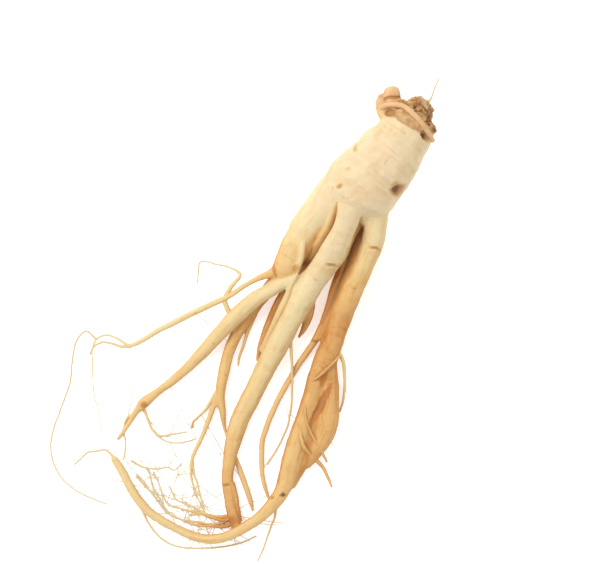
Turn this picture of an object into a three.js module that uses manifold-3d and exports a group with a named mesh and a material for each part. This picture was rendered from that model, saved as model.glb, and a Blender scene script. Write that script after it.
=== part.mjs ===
// A dried ginseng root that lies on a surface: one grown piece, so one closed solid.
// Units are millimetres. +Z is up, -Y is where the legs point, and the root lies on the plane z = 0.
// The origin is on that plane, under the middle of the thick body.
import * as THREE from "three";
import { mergeVertices } from "three/addons/utils/BufferGeometryUtils.js";
import Module from "manifold-3d";

// Driving dimensions.
const BODY_RADIUS = 15; // at the thickest place, just above the fork
const BODY_FLATNESS = 0.93; // height of the body's section over its width
const CAP_LENGTH = 0.7; // how far a round end stands past its last station, in radii there
const SIDES = { body: 28, leg: 16, branch: 10, hair: 5 };
const FLOOR_REACH = 400; // size of the block that trims the underside flat

// Each root is a list of stations [x, y, z, radius] along its centre line, from its thick end to its tip.
// Legs start inside the body and branches inside their leg, so that they join into one solid.
const BODY = [
  [19.4, 24.6, 11.4, 5.6],
  [17.5, 22, 11, 9.3],
  [14.5, 16.5, 11, 10.5],
  [9, 8.5, 11.5, 12.6],
  [2.5, 0.5, 12.8, 14.1],
  [-4.5, -7.5, 13.7, BODY_RADIUS],
  [-7.5, -12.5, 13.6, 13.4],
  [-9.5, -16.5, 13.4, 9.5],
];

const LEGS = {
  leftLeg: [
    [-6, 2, 13.6, 7],
    [-13.2, -7, 13.7, 7.7],
    [-18.4, -14, 13.4, 7.9],
    [-24, -21, 12, 7.1],
    [-28.2, -28, 10.8, 6.9],
    [-32, -35, 9.4, 6.4],
    [-36, -41.4, 8, 4.8],
    [-40, -46, 6.6, 2.9],
  ],
  middleLeg: [
    [-3.5, -3, 15.4, 9],
    [-9.5, -15.5, 16.4, 8.2],
    [-12.5, -23, 15.8, 7],
    [-16.5, -32, 14.2, 6.7],
    [-20.5, -39, 12.6, 5.9],
    [-24, -44.5, 11.4, 5.3],
    [-28.5, -52, 9.8, 5.2],
    [-33, -60, 8, 5.1],
    [-37, -68, 6.2, 4.8],
    [-41, -76, 4.8, 4.4],
    [-45, -84, 4, 4.1],
    [-49, -92, 3.9, 4],
    [-53, -100, 3.7, 3.8],
    [-55.5, -108, 3.3, 3.4],
    [-57.2, -116, 3, 2.8],
    [-58, -124, 2.5, 2.4],
    [-57.2, -131, 2.5, 2.5],
    [-56, -137.4, 2.4, 2.4],
    [-54.6, -142.4, 2.3, 2.2],
    [-53.4, -146, 2.1, 1.8],
  ],
  rightLeg: [
    [-2.5, -9, 13.2, 9],
    [-0.4, -16, 12.8, 7.4],
    [0.4, -21.5, 12.6, 5.6],
    [0.2, -28, 12, 4.7],
    [-2, -34.5, 11, 4.4],
    [-4.8, -41, 9.8, 4.4],
    [-8.4, -48.5, 8.4, 4.7],
    [-11.5, -56, 7, 4.7],
    [-14.4, -64, 5.8, 4.5],
    [-17, -72, 5, 4.7],
    [-19.8, -79, 4.6, 4.7],
    [-22.6, -86, 4, 4],
    [-24.8, -93, 3.7, 3.7],
    [-27.2, -100.5, 3.8, 3.8],
    [-29.6, -108, 4, 4.1],
    [-32, -116, 4.2, 4.1],
    [-34, -123, 4.4, 3.7],
    [-36.4, -129, 5, 3.2],
    [-39.6, -133.8, 5.5, 2.8],
    [-43.6, -138, 5.7, 2.5],
    [-48.4, -141.6, 5.8, 2.3],
    [-54, -145, 5.6, 2.15],
    [-60, -147.4, 4.6, 2],
    [-66, -148.2, 3.2, 1.95],
    [-72, -147, 2.1, 1.9],
    [-78.4, -144.2, 1.7, 1.8],
    [-84.8, -140.8, 1.7, 1.8],
    [-90.4, -136.6, 1.8, 1.9],
    [-94.6, -131.6, 1.8, 1.9],
    [-97.8, -126.2, 1.7, 1.8],
    [-100.6, -121, 1.7, 1.75],
    [-103.8, -116, 1.5, 1.5],
  ],
};

const BRANCHES = {
  // From the middle leg, over the left leg's lower branch, to a broken tip.
  longBranch: [
    [-23, -38, 11, 3],
    [-28.8, -41.6, 10.6, 2.7],
    [-35, -44.8, 10.2, 2.7],
    [-41.6, -48.4, 9.6, 2.9],
    [-48.8, -53.4, 8.6, 3.3],
    [-56, -60, 6.8, 3.3],
    [-62.8, -67.2, 4.8, 2.9],
    [-68.8, -73.8, 3.4, 2.5],
    [-74.8, -79.8, 2.5, 2.1],
    [-80.8, -85.2, 2, 1.75],
    [-86.8, -89.6, 1.75, 1.65],
    [-91.6, -93.4, 2, 2.15],
    [-94.6, -96.8, 1.4, 1.35],
    [-97.6, -101.2, 1.1, 1.15],
    [-100.2, -105.4, 0.9, 0.95],
    [-102.4, -108.2, 0.7, 0.7],
  ],
  // The left leg's thin branch, which turns down in a hook.
  hookBranch: [
    [-35.5, -38, 10.4, 2.4],
    [-40, -41, 10.2, 1.9],
    [-44, -42.6, 10, 1.4],
    [-48.8, -45, 9.6, 1.1],
    [-53.6, -48, 9, 1.15],
    [-58.8, -51.2, 8.2, 1.25],
    [-64.8, -54, 7.2, 1.3],
    [-70.8, -56.8, 6, 1.35],
    [-76.8, -59.8, 4.8, 1.35],
    [-84.8, -63.8, 3.2, 1.25],
    [-92.8, -68.4, 1.8, 1.1],
    [-97.6, -70.4, 1.1, 0.85],
    [-102.8, -67.4, 0.9, 0.6],
    [-107.2, -66, 0.8, 0.55],
    [-110.8, -67.6, 0.7, 0.55],
    [-112.4, -71.4, 0.6, 0.5],
    [-112.4, -80, 0.5, 0.45],
    [-112, -90, 0.45, 0.42],
    [-110, -98, 0.45, 0.4],
    [-108.8, -105, 0.45, 0.36],
    [-108.4, -110.5, 0.4, 0.32],
  ],
  // The left leg's lower branch, which goes under the long branch and then under the middle leg.
  underBranch: [
    [-34.5, -38, 8, 3.2],
    [-40, -46, 6, 2.9],
    [-45.6, -53, 3.8, 2.6],
    [-50, -59.2, 2.6, 2.6],
    [-54.4, -66, 2.4, 2.5],
    [-57.8, -74, 2.3, 2.4],
    [-60, -83, 2.2, 2.3],
    [-60.8, -90.5, 1.9, 1.9],
    [-60, -97.6, 1.4, 1.4],
    [-59.4, -103, 0.75, 0.85],
    [-57.4, -109, 0.6, 0.7],
    [-55, -115, 0.8, 0.85],
    [-52.8, -121, 1.1, 1.2],
    [-50.4, -128, 1.1, 1.2],
    [-48.6, -133.5, 1, 1],
    [-47.8, -137, 0.8, 0.6],
  ],
  forkedTwig: [
    [-60.8, -87, 1.9, 1.6],
    [-63.6, -95, 1.4, 1.2],
    [-66.8, -103, 1.1, 1.05],
    [-69.6, -110, 0.95, 0.95],
    [-72, -115.4, 0.85, 0.85],
    [-72.8, -122, 0.7, 0.7],
    [-71.6, -128, 0.6, 0.55],
    [-68.8, -134.6, 0.5, 0.45],
  ],
  shadedTwig: [
    [-30, -41.5, 9, 2.2],
    [-33.5, -47, 7.6, 1.9],
    [-37.5, -53.5, 5.4, 1.9],
    [-40.6, -60, 3, 1.8],
    [-43.2, -66.5, 1.6, 1.7],
    [-45, -72, 1.2, 1.3],
    [-46.2, -76.4, 0.9, 0.7],
  ],
  strapTwig: [
    [-25.8, -23.6, 13.6, 1.3],
    [-27.2, -28.6, 16.2, 1.3],
    [-28, -33, 16.6, 1.15],
    [-29, -38.5, 15.4, 1.05],
    [-30.6, -44.5, 13.2, 1],
    [-33.4, -51.5, 10.4, 0.95],
    [-37.2, -59, 7.8, 0.9],
    [-41, -66.5, 5.4, 0.85],
    [-44, -72.5, 4.2, 0.75],
  ],
  shortTwig: [
    [-46, -55.5, 3.6, 1.1],
    [-49.6, -64.6, 1.2, 0.9],
    [-51.6, -70.4, 0.9, 0.8],
    [-53.4, -75, 0.8, 0.7],
    [-53.9, -78.6, 0.7, 0.5],
  ],
  sideTwig: [
    [-25, -50, 9, 2.2],
    [-24.8, -57, 6.4, 1.8],
    [-27, -63, 4.6, 1.4],
    [-29.4, -67, 3.6, 0.7],
  ],
  // The right leg's second end, thick and broken off short.
  stubBranch: [
    [-17.6, -77, 4.8, 3.6],
    [-16.8, -86, 4.4, 3.8],
    [-16.8, -94, 4, 4],
    [-17.4, -101, 3.9, 4.2],
    [-19.4, -107.6, 3.6, 3.8],
    [-22.8, -113.2, 3.1, 3.1],
    [-26, -118.4, 2.6, 1.9],
  ],
  // From the fork down between the middle leg and the right leg, to its tip under the right leg's bend.
  betweenBranch: [
    [-5, -22, 9.6, 3.6],
    [-8, -31, 9, 3.5],
    [-11, -40, 7.8, 3.4],
    [-13.8, -48, 6.4, 3.2],
    [-16.6, -56, 5.2, 2.6],
    [-20, -63.4, 3.8, 1.9],
    [-23.4, -69.4, 2.4, 1.5],
    [-26.6, -74, 1.6, 1.35],
    [-30, -79, 1.25, 1.3],
    [-34, -85.4, 1.2, 1.25],
    [-38, -93, 1.2, 1.25],
    [-41.6, -101, 1.2, 1.2],
    [-44, -109, 1.15, 1.2],
    [-44.4, -116, 1.1, 1.15],
    [-44, -123, 1, 1.05],
    [-42.8, -128, 0.85, 0.9],
    [-41.2, -132.4, 0.7, 0.65],
  ],
  // A low ridge between the left leg and the middle leg.
  innerFlank: [
    [-15, -15, 9, 4.6],
    [-20, -24, 8, 4.8],
    [-24, -32, 6.8, 4.4],
    [-27.6, -40, 5.2, 3.2],
    [-31, -46.6, 3.8, 1.9],
  ],
  // Shrunken skin that joins the stub to the right leg.
  stubWeb: [
    [-20.6, -84, 3.6, 3],
    [-21.4, -92, 3.2, 3.1],
    [-22.8, -100, 3, 3.2],
    [-24.8, -107.4, 3, 3.3],
    [-27, -113.6, 3, 3.3],
    [-29.6, -119.6, 3, 3.2],
    [-32.6, -126, 3.2, 2.4],
  ],
};

const ROOTLETS = {
  plumbRootlet: [
    [-33, -63, 7.6, 0.9],
    [-32.4, -72, 6, 0.65],
    [-32, -80, 3.8, 0.55],
    [-32, -88, 1.6, 0.5],
    [-32.6, -96, 0.7, 0.45],
    [-34, -103, 0.5, 0.42],
    [-37, -110, 0.45, 0.4],
    [-39.8, -115, 0.45, 0.4],
    [-42, -118.4, 0.45, 0.35],
  ],
  saddleRootlet: [
    [-29, -102, 6.4, 1.1],
    [-27.6, -110, 7.8, 0.95],
    [-23.8, -115, 4.4, 0.85],
    [-20, -119, 1.2, 0.75],
    [-17.6, -123.4, 0.7, 0.65],
    [-16, -127.4, 0.5, 0.45],
  ],
  edgeRootlet: [
    [-15.4, -70, 6.8, 1],
    [-11.8, -76, 5.6, 0.75],
    [-10.8, -84, 3, 0.65],
    [-11.2, -91, 1.2, 0.55],
    [-12.6, -97, 0.6, 0.45],
  ],
  bentRootlet: [
    [-57, -57.6, 6.6, 1.1],
    [-58.8, -51.6, 8, 1],
    [-56.4, -46.8, 8.6, 0.95],
    [-52.8, -41.8, 8.2, 0.7],
    [-56, -39.4, 7.6, 0.45],
    [-61.6, -37.8, 6.8, 0.38],
    [-68.8, -36.8, 5.6, 0.36],
    [-69.6, -40.8, 4.8, 0.34],
    [-70, -45.2, 4, 0.3],
  ],
  tailHair: [
    [-103, -117, 1.5, 0.7],
    [-105.4, -113.8, 1.2, 0.5],
    [-107.6, -112.4, 0.9, 0.4],
    [-111, -113, 0.6, 0.38],
    [-114.6, -113.6, 0.5, 0.36],
    [-117.4, -116.2, 0.45, 0.34],
    [-120, -118.4, 0.4, 0.3],
  ],
  outerHair: [
    [-111, -67.8, 0.7, 0.45],
    [-115.2, -64.6, 0.6, 0.36],
    [-118.8, -68, 0.5, 0.34],
    [-120.6, -76, 0.45, 0.34],
    [-121.8, -86, 0.42, 0.33],
    [-125, -95, 0.42, 0.32],
    [-128.2, -104, 0.4, 0.32],
    [-129.4, -111, 0.4, 0.31],
    [-128, -118.4, 0.4, 0.31],
    [-124.6, -124.2, 0.38, 0.3],
    [-119.6, -128.6, 0.38, 0.3],
    [-113.4, -131.8, 0.36, 0.3],
    [-106.8, -134.4, 0.36, 0.28],
  ],
  keelHair: [
    [-93.4, -133.4, 1.4, 0.7],
    [-91, -140, 0.8, 0.5],
    [-87, -146, 0.55, 0.42],
    [-82.4, -149.8, 0.5, 0.4],
    [-76.6, -151.8, 0.45, 0.38],
    [-68.4, -152.2, 0.45, 0.36],
    [-59.4, -151.6, 0.45, 0.36],
    [-51.8, -149.8, 0.45, 0.34],
    [-46.4, -147.4, 0.4, 0.3],
  ],
  dropHair: [
    [-38.6, -133, 5, 0.9],
    [-38.8, -138.8, 3, 0.5],
    [-40.6, -144, 1.4, 0.42],
    [-42.4, -149, 0.6, 0.4],
    [-44, -153.2, 0.5, 0.36],
    [-46, -157.4, 0.4, 0.3],
  ],
  fanHairHigh: [
    [-57, -139, 2.2, 0.9],
    [-62, -139.4, 1.4, 0.6],
    [-69.6, -137.8, 0.8, 0.48],
    [-76, -136.4, 0.6, 0.42],
    [-82, -134.4, 0.55, 0.4],
    [-84, -131, 0.5, 0.38],
    [-86, -125.4, 0.45, 0.36],
    [-88, -121.4, 0.42, 0.32],
  ],
  fanHairLow: [
    [-57, -140.4, 1.8, 0.9],
    [-63.2, -142.6, 0.9, 0.55],
    [-70.4, -141.6, 0.6, 0.45],
    [-77, -140.4, 0.5, 0.42],
    [-82.4, -137.8, 0.48, 0.4],
    [-87.6, -131.4, 0.45, 0.38],
    [-92, -125, 0.42, 0.34],
    [-95, -122, 0.4, 0.3],
  ],
  crossHair: [
    [-92.6, -94.6, 1.5, 0.9],
    [-91.2, -97.4, 0.9, 0.6],
    [-88.4, -104.4, 0.6, 0.48],
    [-85, -106.8, 0.5, 0.45],
    [-80, -106.2, 0.48, 0.42],
    [-74.8, -105.2, 0.45, 0.36],
  ],
  crownHair: [
    [21, 25, 12, 0.8],
    [23.4, 28.6, 12.8, 0.4],
    [24.8, 32.4, 13.2, 0.34],
    [26.4, 36, 13.4, 0.3],
  ],
};

const CROWN = {
  bud: [
    [9.5, 22.5, 12, 3.5],
    [8.4, 26.2, 12.8, 3.1],
    [7.8, 29.4, 13.2, 3.6],
    [7.7, 31.2, 13.4, 3.2],
  ],
  budScale: [
    [6.4, 19.5, 11.4, 2.8],
    [4, 23.6, 12, 2.6],
    [3.5, 27.2, 12.4, 2.3],
    [3.9, 29.2, 12.6, 1.7],
  ],
  rimKnob: [
    [20, 18, 11.4, 4],
    [23.6, 16.2, 12, 2.4],
    [25, 15.4, 12.2, 1.4],
  ],
  strap: [
    [3.6, 24.6, 14, 1.2],
    [7.4, 25.6, 16, 1.1],
    [12, 24.7, 18, 1.1],
    [16, 21.4, 19.9, 1.1],
    [19.6, 17.4, 19.5, 1.1],
    [22.4, 13.8, 16.4, 1.1],
    [23.9, 11.4, 13.2, 0.9],
  ],
};

// A closed surface of revolution bent along the stations' centre line, with the stations' radii.
function taperedRoot(stations, sides, ringsPerSpan, flatness = 1) {
  const centre = new THREE.CatmullRomCurve3(
    stations.map(([x, y, z]) => new THREE.Vector3(x, y, z)),
    false,
    "centripetal",
  );
  const thickness = new THREE.SplineCurve(
    stations.map(([, , , radius], i) => new THREE.Vector2(i, radius)),
  );
  const spans = (stations.length - 1) * ringsPerSpan;
  const profile = [new THREE.Vector2(0, -1)];
  for (let ring = 0; ring <= spans; ring++) {
    profile.push(new THREE.Vector2(1, ring));
  }
  profile.push(new THREE.Vector2(0, spans + 1));
  const geometry = new THREE.LatheGeometry(profile, sides);

  const sections = [];
  const across = new THREE.Vector3(0, 0, 1);
  for (let ring = 0; ring <= spans; ring++) {
    const t = ring / spans;
    const tangent = centre.getTangent(t);
    across.addScaledVector(tangent, -across.dot(tangent)).normalize();
    sections.push({
      point: centre.getPoint(t),
      tangent,
      up: across.clone(),
      side: new THREE.Vector3().crossVectors(tangent, across),
      radius: Math.max(0.25, thickness.getPoint(t).y),
    });
  }

  const positions = geometry.getAttribute("position");
  const placed = new THREE.Vector3();
  for (let i = 0; i < positions.count; i++) {
    const ring = Math.round(positions.getY(i));
    const section = sections[THREE.MathUtils.clamp(ring, 0, spans)];
    const overhang = (ring < 0 ? -1 : 0) + (ring > spans ? 1 : 0);
    placed
      .set(0, 0, 0)
      .addScaledVector(section.side, positions.getX(i) * section.radius)
      .addScaledVector(section.up, positions.getZ(i) * section.radius);
    placed.z *= flatness;
    placed
      .addScaledVector(section.tangent, overhang * CAP_LENGTH * section.radius)
      .add(section.point);
    positions.setXYZ(i, placed.x, placed.y, placed.z);
  }
  return geometry;
}

const wasm = await Module();
wasm.setup();

function toSolid(geometry) {
  const bare = geometry.clone();
  bare.deleteAttribute("normal");
  bare.deleteAttribute("uv");
  const merged = mergeVertices(bare, 1e-4);
  return new wasm.Manifold(
    new wasm.Mesh({
      numProp: 3,
      vertProperties: new Float32Array(merged.getAttribute("position").array),
      triVerts: new Uint32Array(merged.index.array),
    }),
  );
}

function toGeometry(solid) {
  const mesh = solid.getMesh();
  const geometry = new THREE.BufferGeometry();
  geometry.setAttribute("position", new THREE.BufferAttribute(mesh.vertProperties, 3));
  geometry.setIndex(new THREE.BufferAttribute(mesh.triVerts, 1));
  geometry.computeVertexNormals();
  return geometry;
}

function rootsOf(group, sides, ringsPerSpan) {
  return Object.values(group).map((stations) => toSolid(taperedRoot(stations, sides, ringsPerSpan)));
}

const pieces = [
  toSolid(taperedRoot(BODY, SIDES.body, 2, BODY_FLATNESS)),
  ...rootsOf(LEGS, SIDES.leg, 1),
  ...rootsOf(BRANCHES, SIDES.branch, 1),
  ...rootsOf(CROWN, SIDES.branch, 2),
  ...rootsOf(ROOTLETS, SIDES.hair, 1),
];
const grown = pieces.reduce((whole, piece) => whole.add(piece));

// The root has dried lying down, so what meets the surface is a little flat.
const floorBlock = new THREE.BoxGeometry(FLOOR_REACH, FLOOR_REACH, FLOOR_REACH);
floorBlock.translate(0, 0, -FLOOR_REACH / 2);
const trimmed = grown.subtract(toSolid(floorBlock));

const driedSkin = new THREE.MeshStandardMaterial({ color: 0xecd3a4, roughness: 0.72, metalness: 0 });
const ginsengRoot = new THREE.Mesh(toGeometry(trimmed), driedSkin);
ginsengRoot.name = "ginseng_root";

const group = new THREE.Group();
group.add(ginsengRoot);
export default group;
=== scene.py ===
"""A dried ginseng root that lies on a pale surface, seen from above.

It grew as one thing: a thick body under a scarred crown, three legs that fork into branches, thin
rootlets and a web of fine hairs. Each root is a list of stations along its centre line, which Geometry
Nodes turn into a tube. The thick tubes are fused into one skin and get the relief of dried bark, and
the thin ones stay tubes of their own. Station tables are in millimetres, as on a drawing, and all that
Blender holds is in metres.
"""

import logging
import math
from dataclasses import dataclass, field
from enum import Enum
from typing import Sequence

import bpy
import numpy as np
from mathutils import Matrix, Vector


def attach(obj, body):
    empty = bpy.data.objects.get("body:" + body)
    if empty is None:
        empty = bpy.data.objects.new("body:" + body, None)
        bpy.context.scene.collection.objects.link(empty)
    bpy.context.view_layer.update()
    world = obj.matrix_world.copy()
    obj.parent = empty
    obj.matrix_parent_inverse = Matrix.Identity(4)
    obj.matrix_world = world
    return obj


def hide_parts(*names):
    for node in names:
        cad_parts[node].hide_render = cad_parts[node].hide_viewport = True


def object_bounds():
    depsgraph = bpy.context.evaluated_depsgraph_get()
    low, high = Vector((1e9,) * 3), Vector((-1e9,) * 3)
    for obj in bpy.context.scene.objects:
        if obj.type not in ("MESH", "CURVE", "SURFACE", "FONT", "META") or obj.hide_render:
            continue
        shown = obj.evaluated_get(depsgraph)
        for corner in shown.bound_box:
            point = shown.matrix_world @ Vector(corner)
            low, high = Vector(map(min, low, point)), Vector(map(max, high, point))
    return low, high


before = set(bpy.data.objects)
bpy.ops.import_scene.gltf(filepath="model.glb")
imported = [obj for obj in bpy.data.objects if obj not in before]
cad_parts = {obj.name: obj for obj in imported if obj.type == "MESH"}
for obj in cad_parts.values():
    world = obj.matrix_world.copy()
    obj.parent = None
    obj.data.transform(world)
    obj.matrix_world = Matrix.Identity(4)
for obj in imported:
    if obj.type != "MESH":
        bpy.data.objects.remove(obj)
CAD_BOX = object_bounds()

LOG = logging.getLogger("ginseng")
MM = 0.001
BODY = "root"
NODE = "ginseng_root"

Station = tuple[float, float, float, float]
Colour = tuple[float, float, float]

INPUT_KINDS = {
    int: "NodeSocketInt",
    float: "NodeSocketFloat",
    tuple: "NodeSocketVector",
    bpy.types.Object: "NodeSocketObject",
    bpy.types.Material: "NodeSocketMaterial",
}


class Kind(Enum):
    """What one value of an attribute is."""

    NUMBER = "FLOAT"
    VECTOR = "FLOAT_VECTOR"


class Domain(Enum):
    """What an attribute's values belong to."""

    POINT = "POINT"
    INSTANCE = "INSTANCE"


# ---------------------------------------------------------------------------------------------------
# Node trees written as Python expressions
# ---------------------------------------------------------------------------------------------------


class Term:
    """A socket that takes part in Python arithmetic, in a shader tree or in a Geometry Nodes tree."""

    def __init__(self, graph: "Graph", socket: bpy.types.NodeSocket) -> None:
        """Keeps the socket and the graph that new nodes go to."""
        self.graph = graph
        self.socket = socket

    @property
    def is_vector(self) -> bool:
        """True for a vector, which goes through Vector Math and not through Math."""
        return self.socket.type == "VECTOR"

    def _with(self, operation: str, first: object, second: object) -> "Term":
        """Adds the Math or Vector Math node of an operation on two operands.

        Args:
            operation: ADD, SUBTRACT, MULTIPLY or DIVIDE.
            first: a Term, a number or a vector.
            second: the same.

        Returns:
            The result's Term.
        """
        vector = any(isinstance(side, Term) and side.is_vector for side in (first, second))
        if vector and operation == "MULTIPLY":
            if isinstance(second, (int, float)) or (isinstance(second, Term) and not second.is_vector):
                return self.graph.vector_maths("SCALE", first, scale=second)
            if isinstance(first, (int, float)) or (isinstance(first, Term) and not first.is_vector):
                return self.graph.vector_maths("SCALE", second, scale=first)
        if vector:
            return self.graph.vector_maths(operation, first, second)
        return self.graph.maths(operation, first, second)

    def __add__(self, other: object) -> "Term":
        """self + other."""
        return self._with("ADD", self, other)

    def __radd__(self, other: object) -> "Term":
        """other + self."""
        return self._with("ADD", other, self)

    def __sub__(self, other: object) -> "Term":
        """self - other."""
        return self._with("SUBTRACT", self, other)

    def __rsub__(self, other: object) -> "Term":
        """other - self."""
        return self._with("SUBTRACT", other, self)

    def __mul__(self, other: object) -> "Term":
        """self * other."""
        return self._with("MULTIPLY", self, other)

    def __rmul__(self, other: object) -> "Term":
        """other * self."""
        return self._with("MULTIPLY", other, self)

    def __truediv__(self, other: object) -> "Term":
        """self / other."""
        return self._with("DIVIDE", self, other)

    def __rtruediv__(self, other: object) -> "Term":
        """other / self."""
        return self._with("DIVIDE", other, self)

    def __pow__(self, other: object) -> "Term":
        """self ** other."""
        return self.graph.maths("POWER", self, other)


class Graph:
    """A node tree being built, with one method that adds any node and a few that add common ones."""

    def __init__(self, tree: bpy.types.NodeTree) -> None:
        """Starts on an empty tree."""
        self.tree = tree
        self.tree.nodes.clear()

    def node(
        self,
        kind: str,
        settings: dict[str, object] | None = None,
        inputs: dict[str | int, object] | None = None,
    ) -> bpy.types.Node:
        """Adds a node.

        Args:
            kind: the node's type, such as ShaderNodeMath.
            settings: its properties, set before its sockets; "stops" fills a ramp.
            inputs: values or Terms for its input sockets, by name or by place among those in use.

        Returns:
            The new node.
        """
        made = self.tree.nodes.new(kind)
        for name, value in (settings or {}).items():
            if name == "stops":
                self._fill_ramp(made.color_ramp, value)
            else:
                setattr(made, name, value)
        for name, value in (inputs or {}).items():
            socket = self._socket(made.inputs, name)
            if isinstance(value, Term):
                self.tree.links.new(value.socket, socket)
            elif value is not None:
                socket.default_value = value
        return made

    @staticmethod
    def _socket(sockets: Sequence[bpy.types.NodeSocket], name: str | int) -> bpy.types.NodeSocket:
        """The socket in use that has a name, or that stands at a place."""
        live = [socket for socket in sockets if socket.enabled]
        return live[name] if isinstance(name, int) else next(each for each in live if each.name == name)

    @staticmethod
    def _fill_ramp(ramp: bpy.types.ColorRamp, stops: Sequence[tuple[float, Colour]]) -> None:
        """Gives a colour ramp its stops.

        Args:
            ramp: the ramp, new.
            stops: a place from 0 to 1 and a colour for each stop.
        """
        while len(ramp.elements) < len(stops):
            ramp.elements.new(1.0)
        for element, (place, colour) in zip(ramp.elements, stops):
            element.position = place
            element.color = (*colour, 1.0)

    def out(self, node: bpy.types.Node, name: str | int = 0) -> Term:
        """The Term of one of a node's outputs."""
        return Term(self, self._socket(node.outputs, name))

    def maths(self, operation: str, *operands: object) -> Term:
        """A Math node's result."""
        return self.out(self.node("ShaderNodeMath", {"operation": operation}, dict(enumerate(operands))))

    def vector_maths(self, operation: str, *operands: object, scale: object = None) -> Term:
        """Adds a Vector Math node.

        Args:
            operation: the node's operation.
            operands: Terms, vectors or numbers, for its vector sockets in turn.
            scale: a factor, for SCALE alone.

        Returns:
            A number for a length, distance or dot product, or else a vector.
        """
        inputs: dict[str | int, object] = {}
        for index, operand in enumerate(operands):
            inputs[index] = (operand,) * 3 if isinstance(operand, (int, float)) else operand
        if scale is not None:
            inputs["Scale"] = scale
        made = self.node("ShaderNodeVectorMath", {"operation": operation}, inputs)
        number = operation in ("LENGTH", "DISTANCE", "DOT_PRODUCT")
        return self.out(made, "Value" if number else "Vector")

    def combine(self, x: object, y: object, z: object) -> Term:
        """A vector of three numbers."""
        return self.out(self.node("ShaderNodeCombineXYZ", None, {"X": x, "Y": y, "Z": z}))

    def split(self, vector: Term) -> tuple[Term, Term, Term]:
        """The three numbers of a vector."""
        made = self.node("ShaderNodeSeparateXYZ", None, {"Vector": vector})
        return self.out(made, "X"), self.out(made, "Y"), self.out(made, "Z")

    def step(self, value: object, low: float, high: float) -> Term:
        """Rises smoothly from 0 at low to 1 at high, or falls where low is the larger.

        Args:
            value: what is looked at.
            low: the value that gives 0.
            high: the value that gives 1.

        Returns:
            A number from 0 to 1.
        """
        rising = low < high
        made = self.node(
            "ShaderNodeMapRange",
            {"interpolation_type": "SMOOTHSTEP"},
            {
                "Value": value,
                "From Min": min(low, high),
                "From Max": max(low, high),
                "To Min": 0.0 if rising else 1.0,
                "To Max": 1.0 if rising else 0.0,
            },
        )
        return self.out(made, "Result")

    def noise(self, vector: Term, scale: float, detail: float = 2.0, roughness: float = 0.5) -> Term:
        """Fractal noise of about -0.5 to 0.5."""
        inputs = {"Vector": vector, "Scale": scale, "Detail": detail, "Roughness": roughness}
        return self.out(self.node("ShaderNodeTexNoise", None, inputs)) - 0.5

    def noise_vector(self, vector: Term, scale: float, detail: float = 1.0) -> Term:
        """Noise in three directions.

        Args:
            vector: where the noise is read.
            scale: waves to a unit of length.
            detail: how many finer octaves.

        Returns:
            A vector with each part between about -0.5 and 0.5.
        """
        inputs = {"Vector": vector, "Scale": scale, "Detail": detail}
        made = self.node("ShaderNodeTexNoise", None, inputs)
        return self.vector_maths("SUBTRACT", self.out(made, "Color"), (0.5, 0.5, 0.5))

    def cells(self, vector: Term, scale: float) -> tuple[Term, Term]:
        """A Voronoi pattern's distance to the nearest cell centre, and a random number for each cell."""
        made = self.node("ShaderNodeTexVoronoi", {"feature": "F1"}, {"Vector": vector, "Scale": scale})
        return self.out(made, "Distance"), self.split(self.out(made, "Color"))[0]

    def cracks(self, vector: Term, scale: float) -> Term:
        """A Voronoi pattern's distance to the nearest border between cells."""
        settings = {"feature": "DISTANCE_TO_EDGE"}
        return self.out(self.node("ShaderNodeTexVoronoi", settings, {"Vector": vector, "Scale": scale}))

    def ramp(self, value: Term, stops: Sequence[tuple[float, Colour]]) -> Term:
        """A colour that a number picks from a row of colours."""
        return self.out(self.node("ShaderNodeValToRGB", {"stops": stops}, {0: value}), "Color")

    def mix(self, factor: object, a: object, b: object, blend: str = "MIX") -> Term:
        """Mixes two colours.

        Args:
            factor: how far the result is b, from 0 to 1.
            a: a colour or its Term.
            b: the other.
            blend: the blend type.

        Returns:
            A colour between a and b, or a blended with b as far as the factor says.
        """
        settings = {"data_type": "RGBA", "blend_type": blend, "clamp_factor": True}
        values = {"Factor": factor, "A": self._rgba(a), "B": self._rgba(b)}
        return self.out(self.node("ShaderNodeMix", settings, values), "Result")

    def tint(self, colour: object, factor: object, by: Colour) -> Term:
        """A colour multiplied by another, as far as the factor says."""
        return self.mix(factor, colour, by, "MULTIPLY")

    @staticmethod
    def _rgba(colour: object) -> object:
        """A plain colour with its alpha, or the Term as it is."""
        return (*colour, 1.0) if isinstance(colour, tuple) else colour


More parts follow.
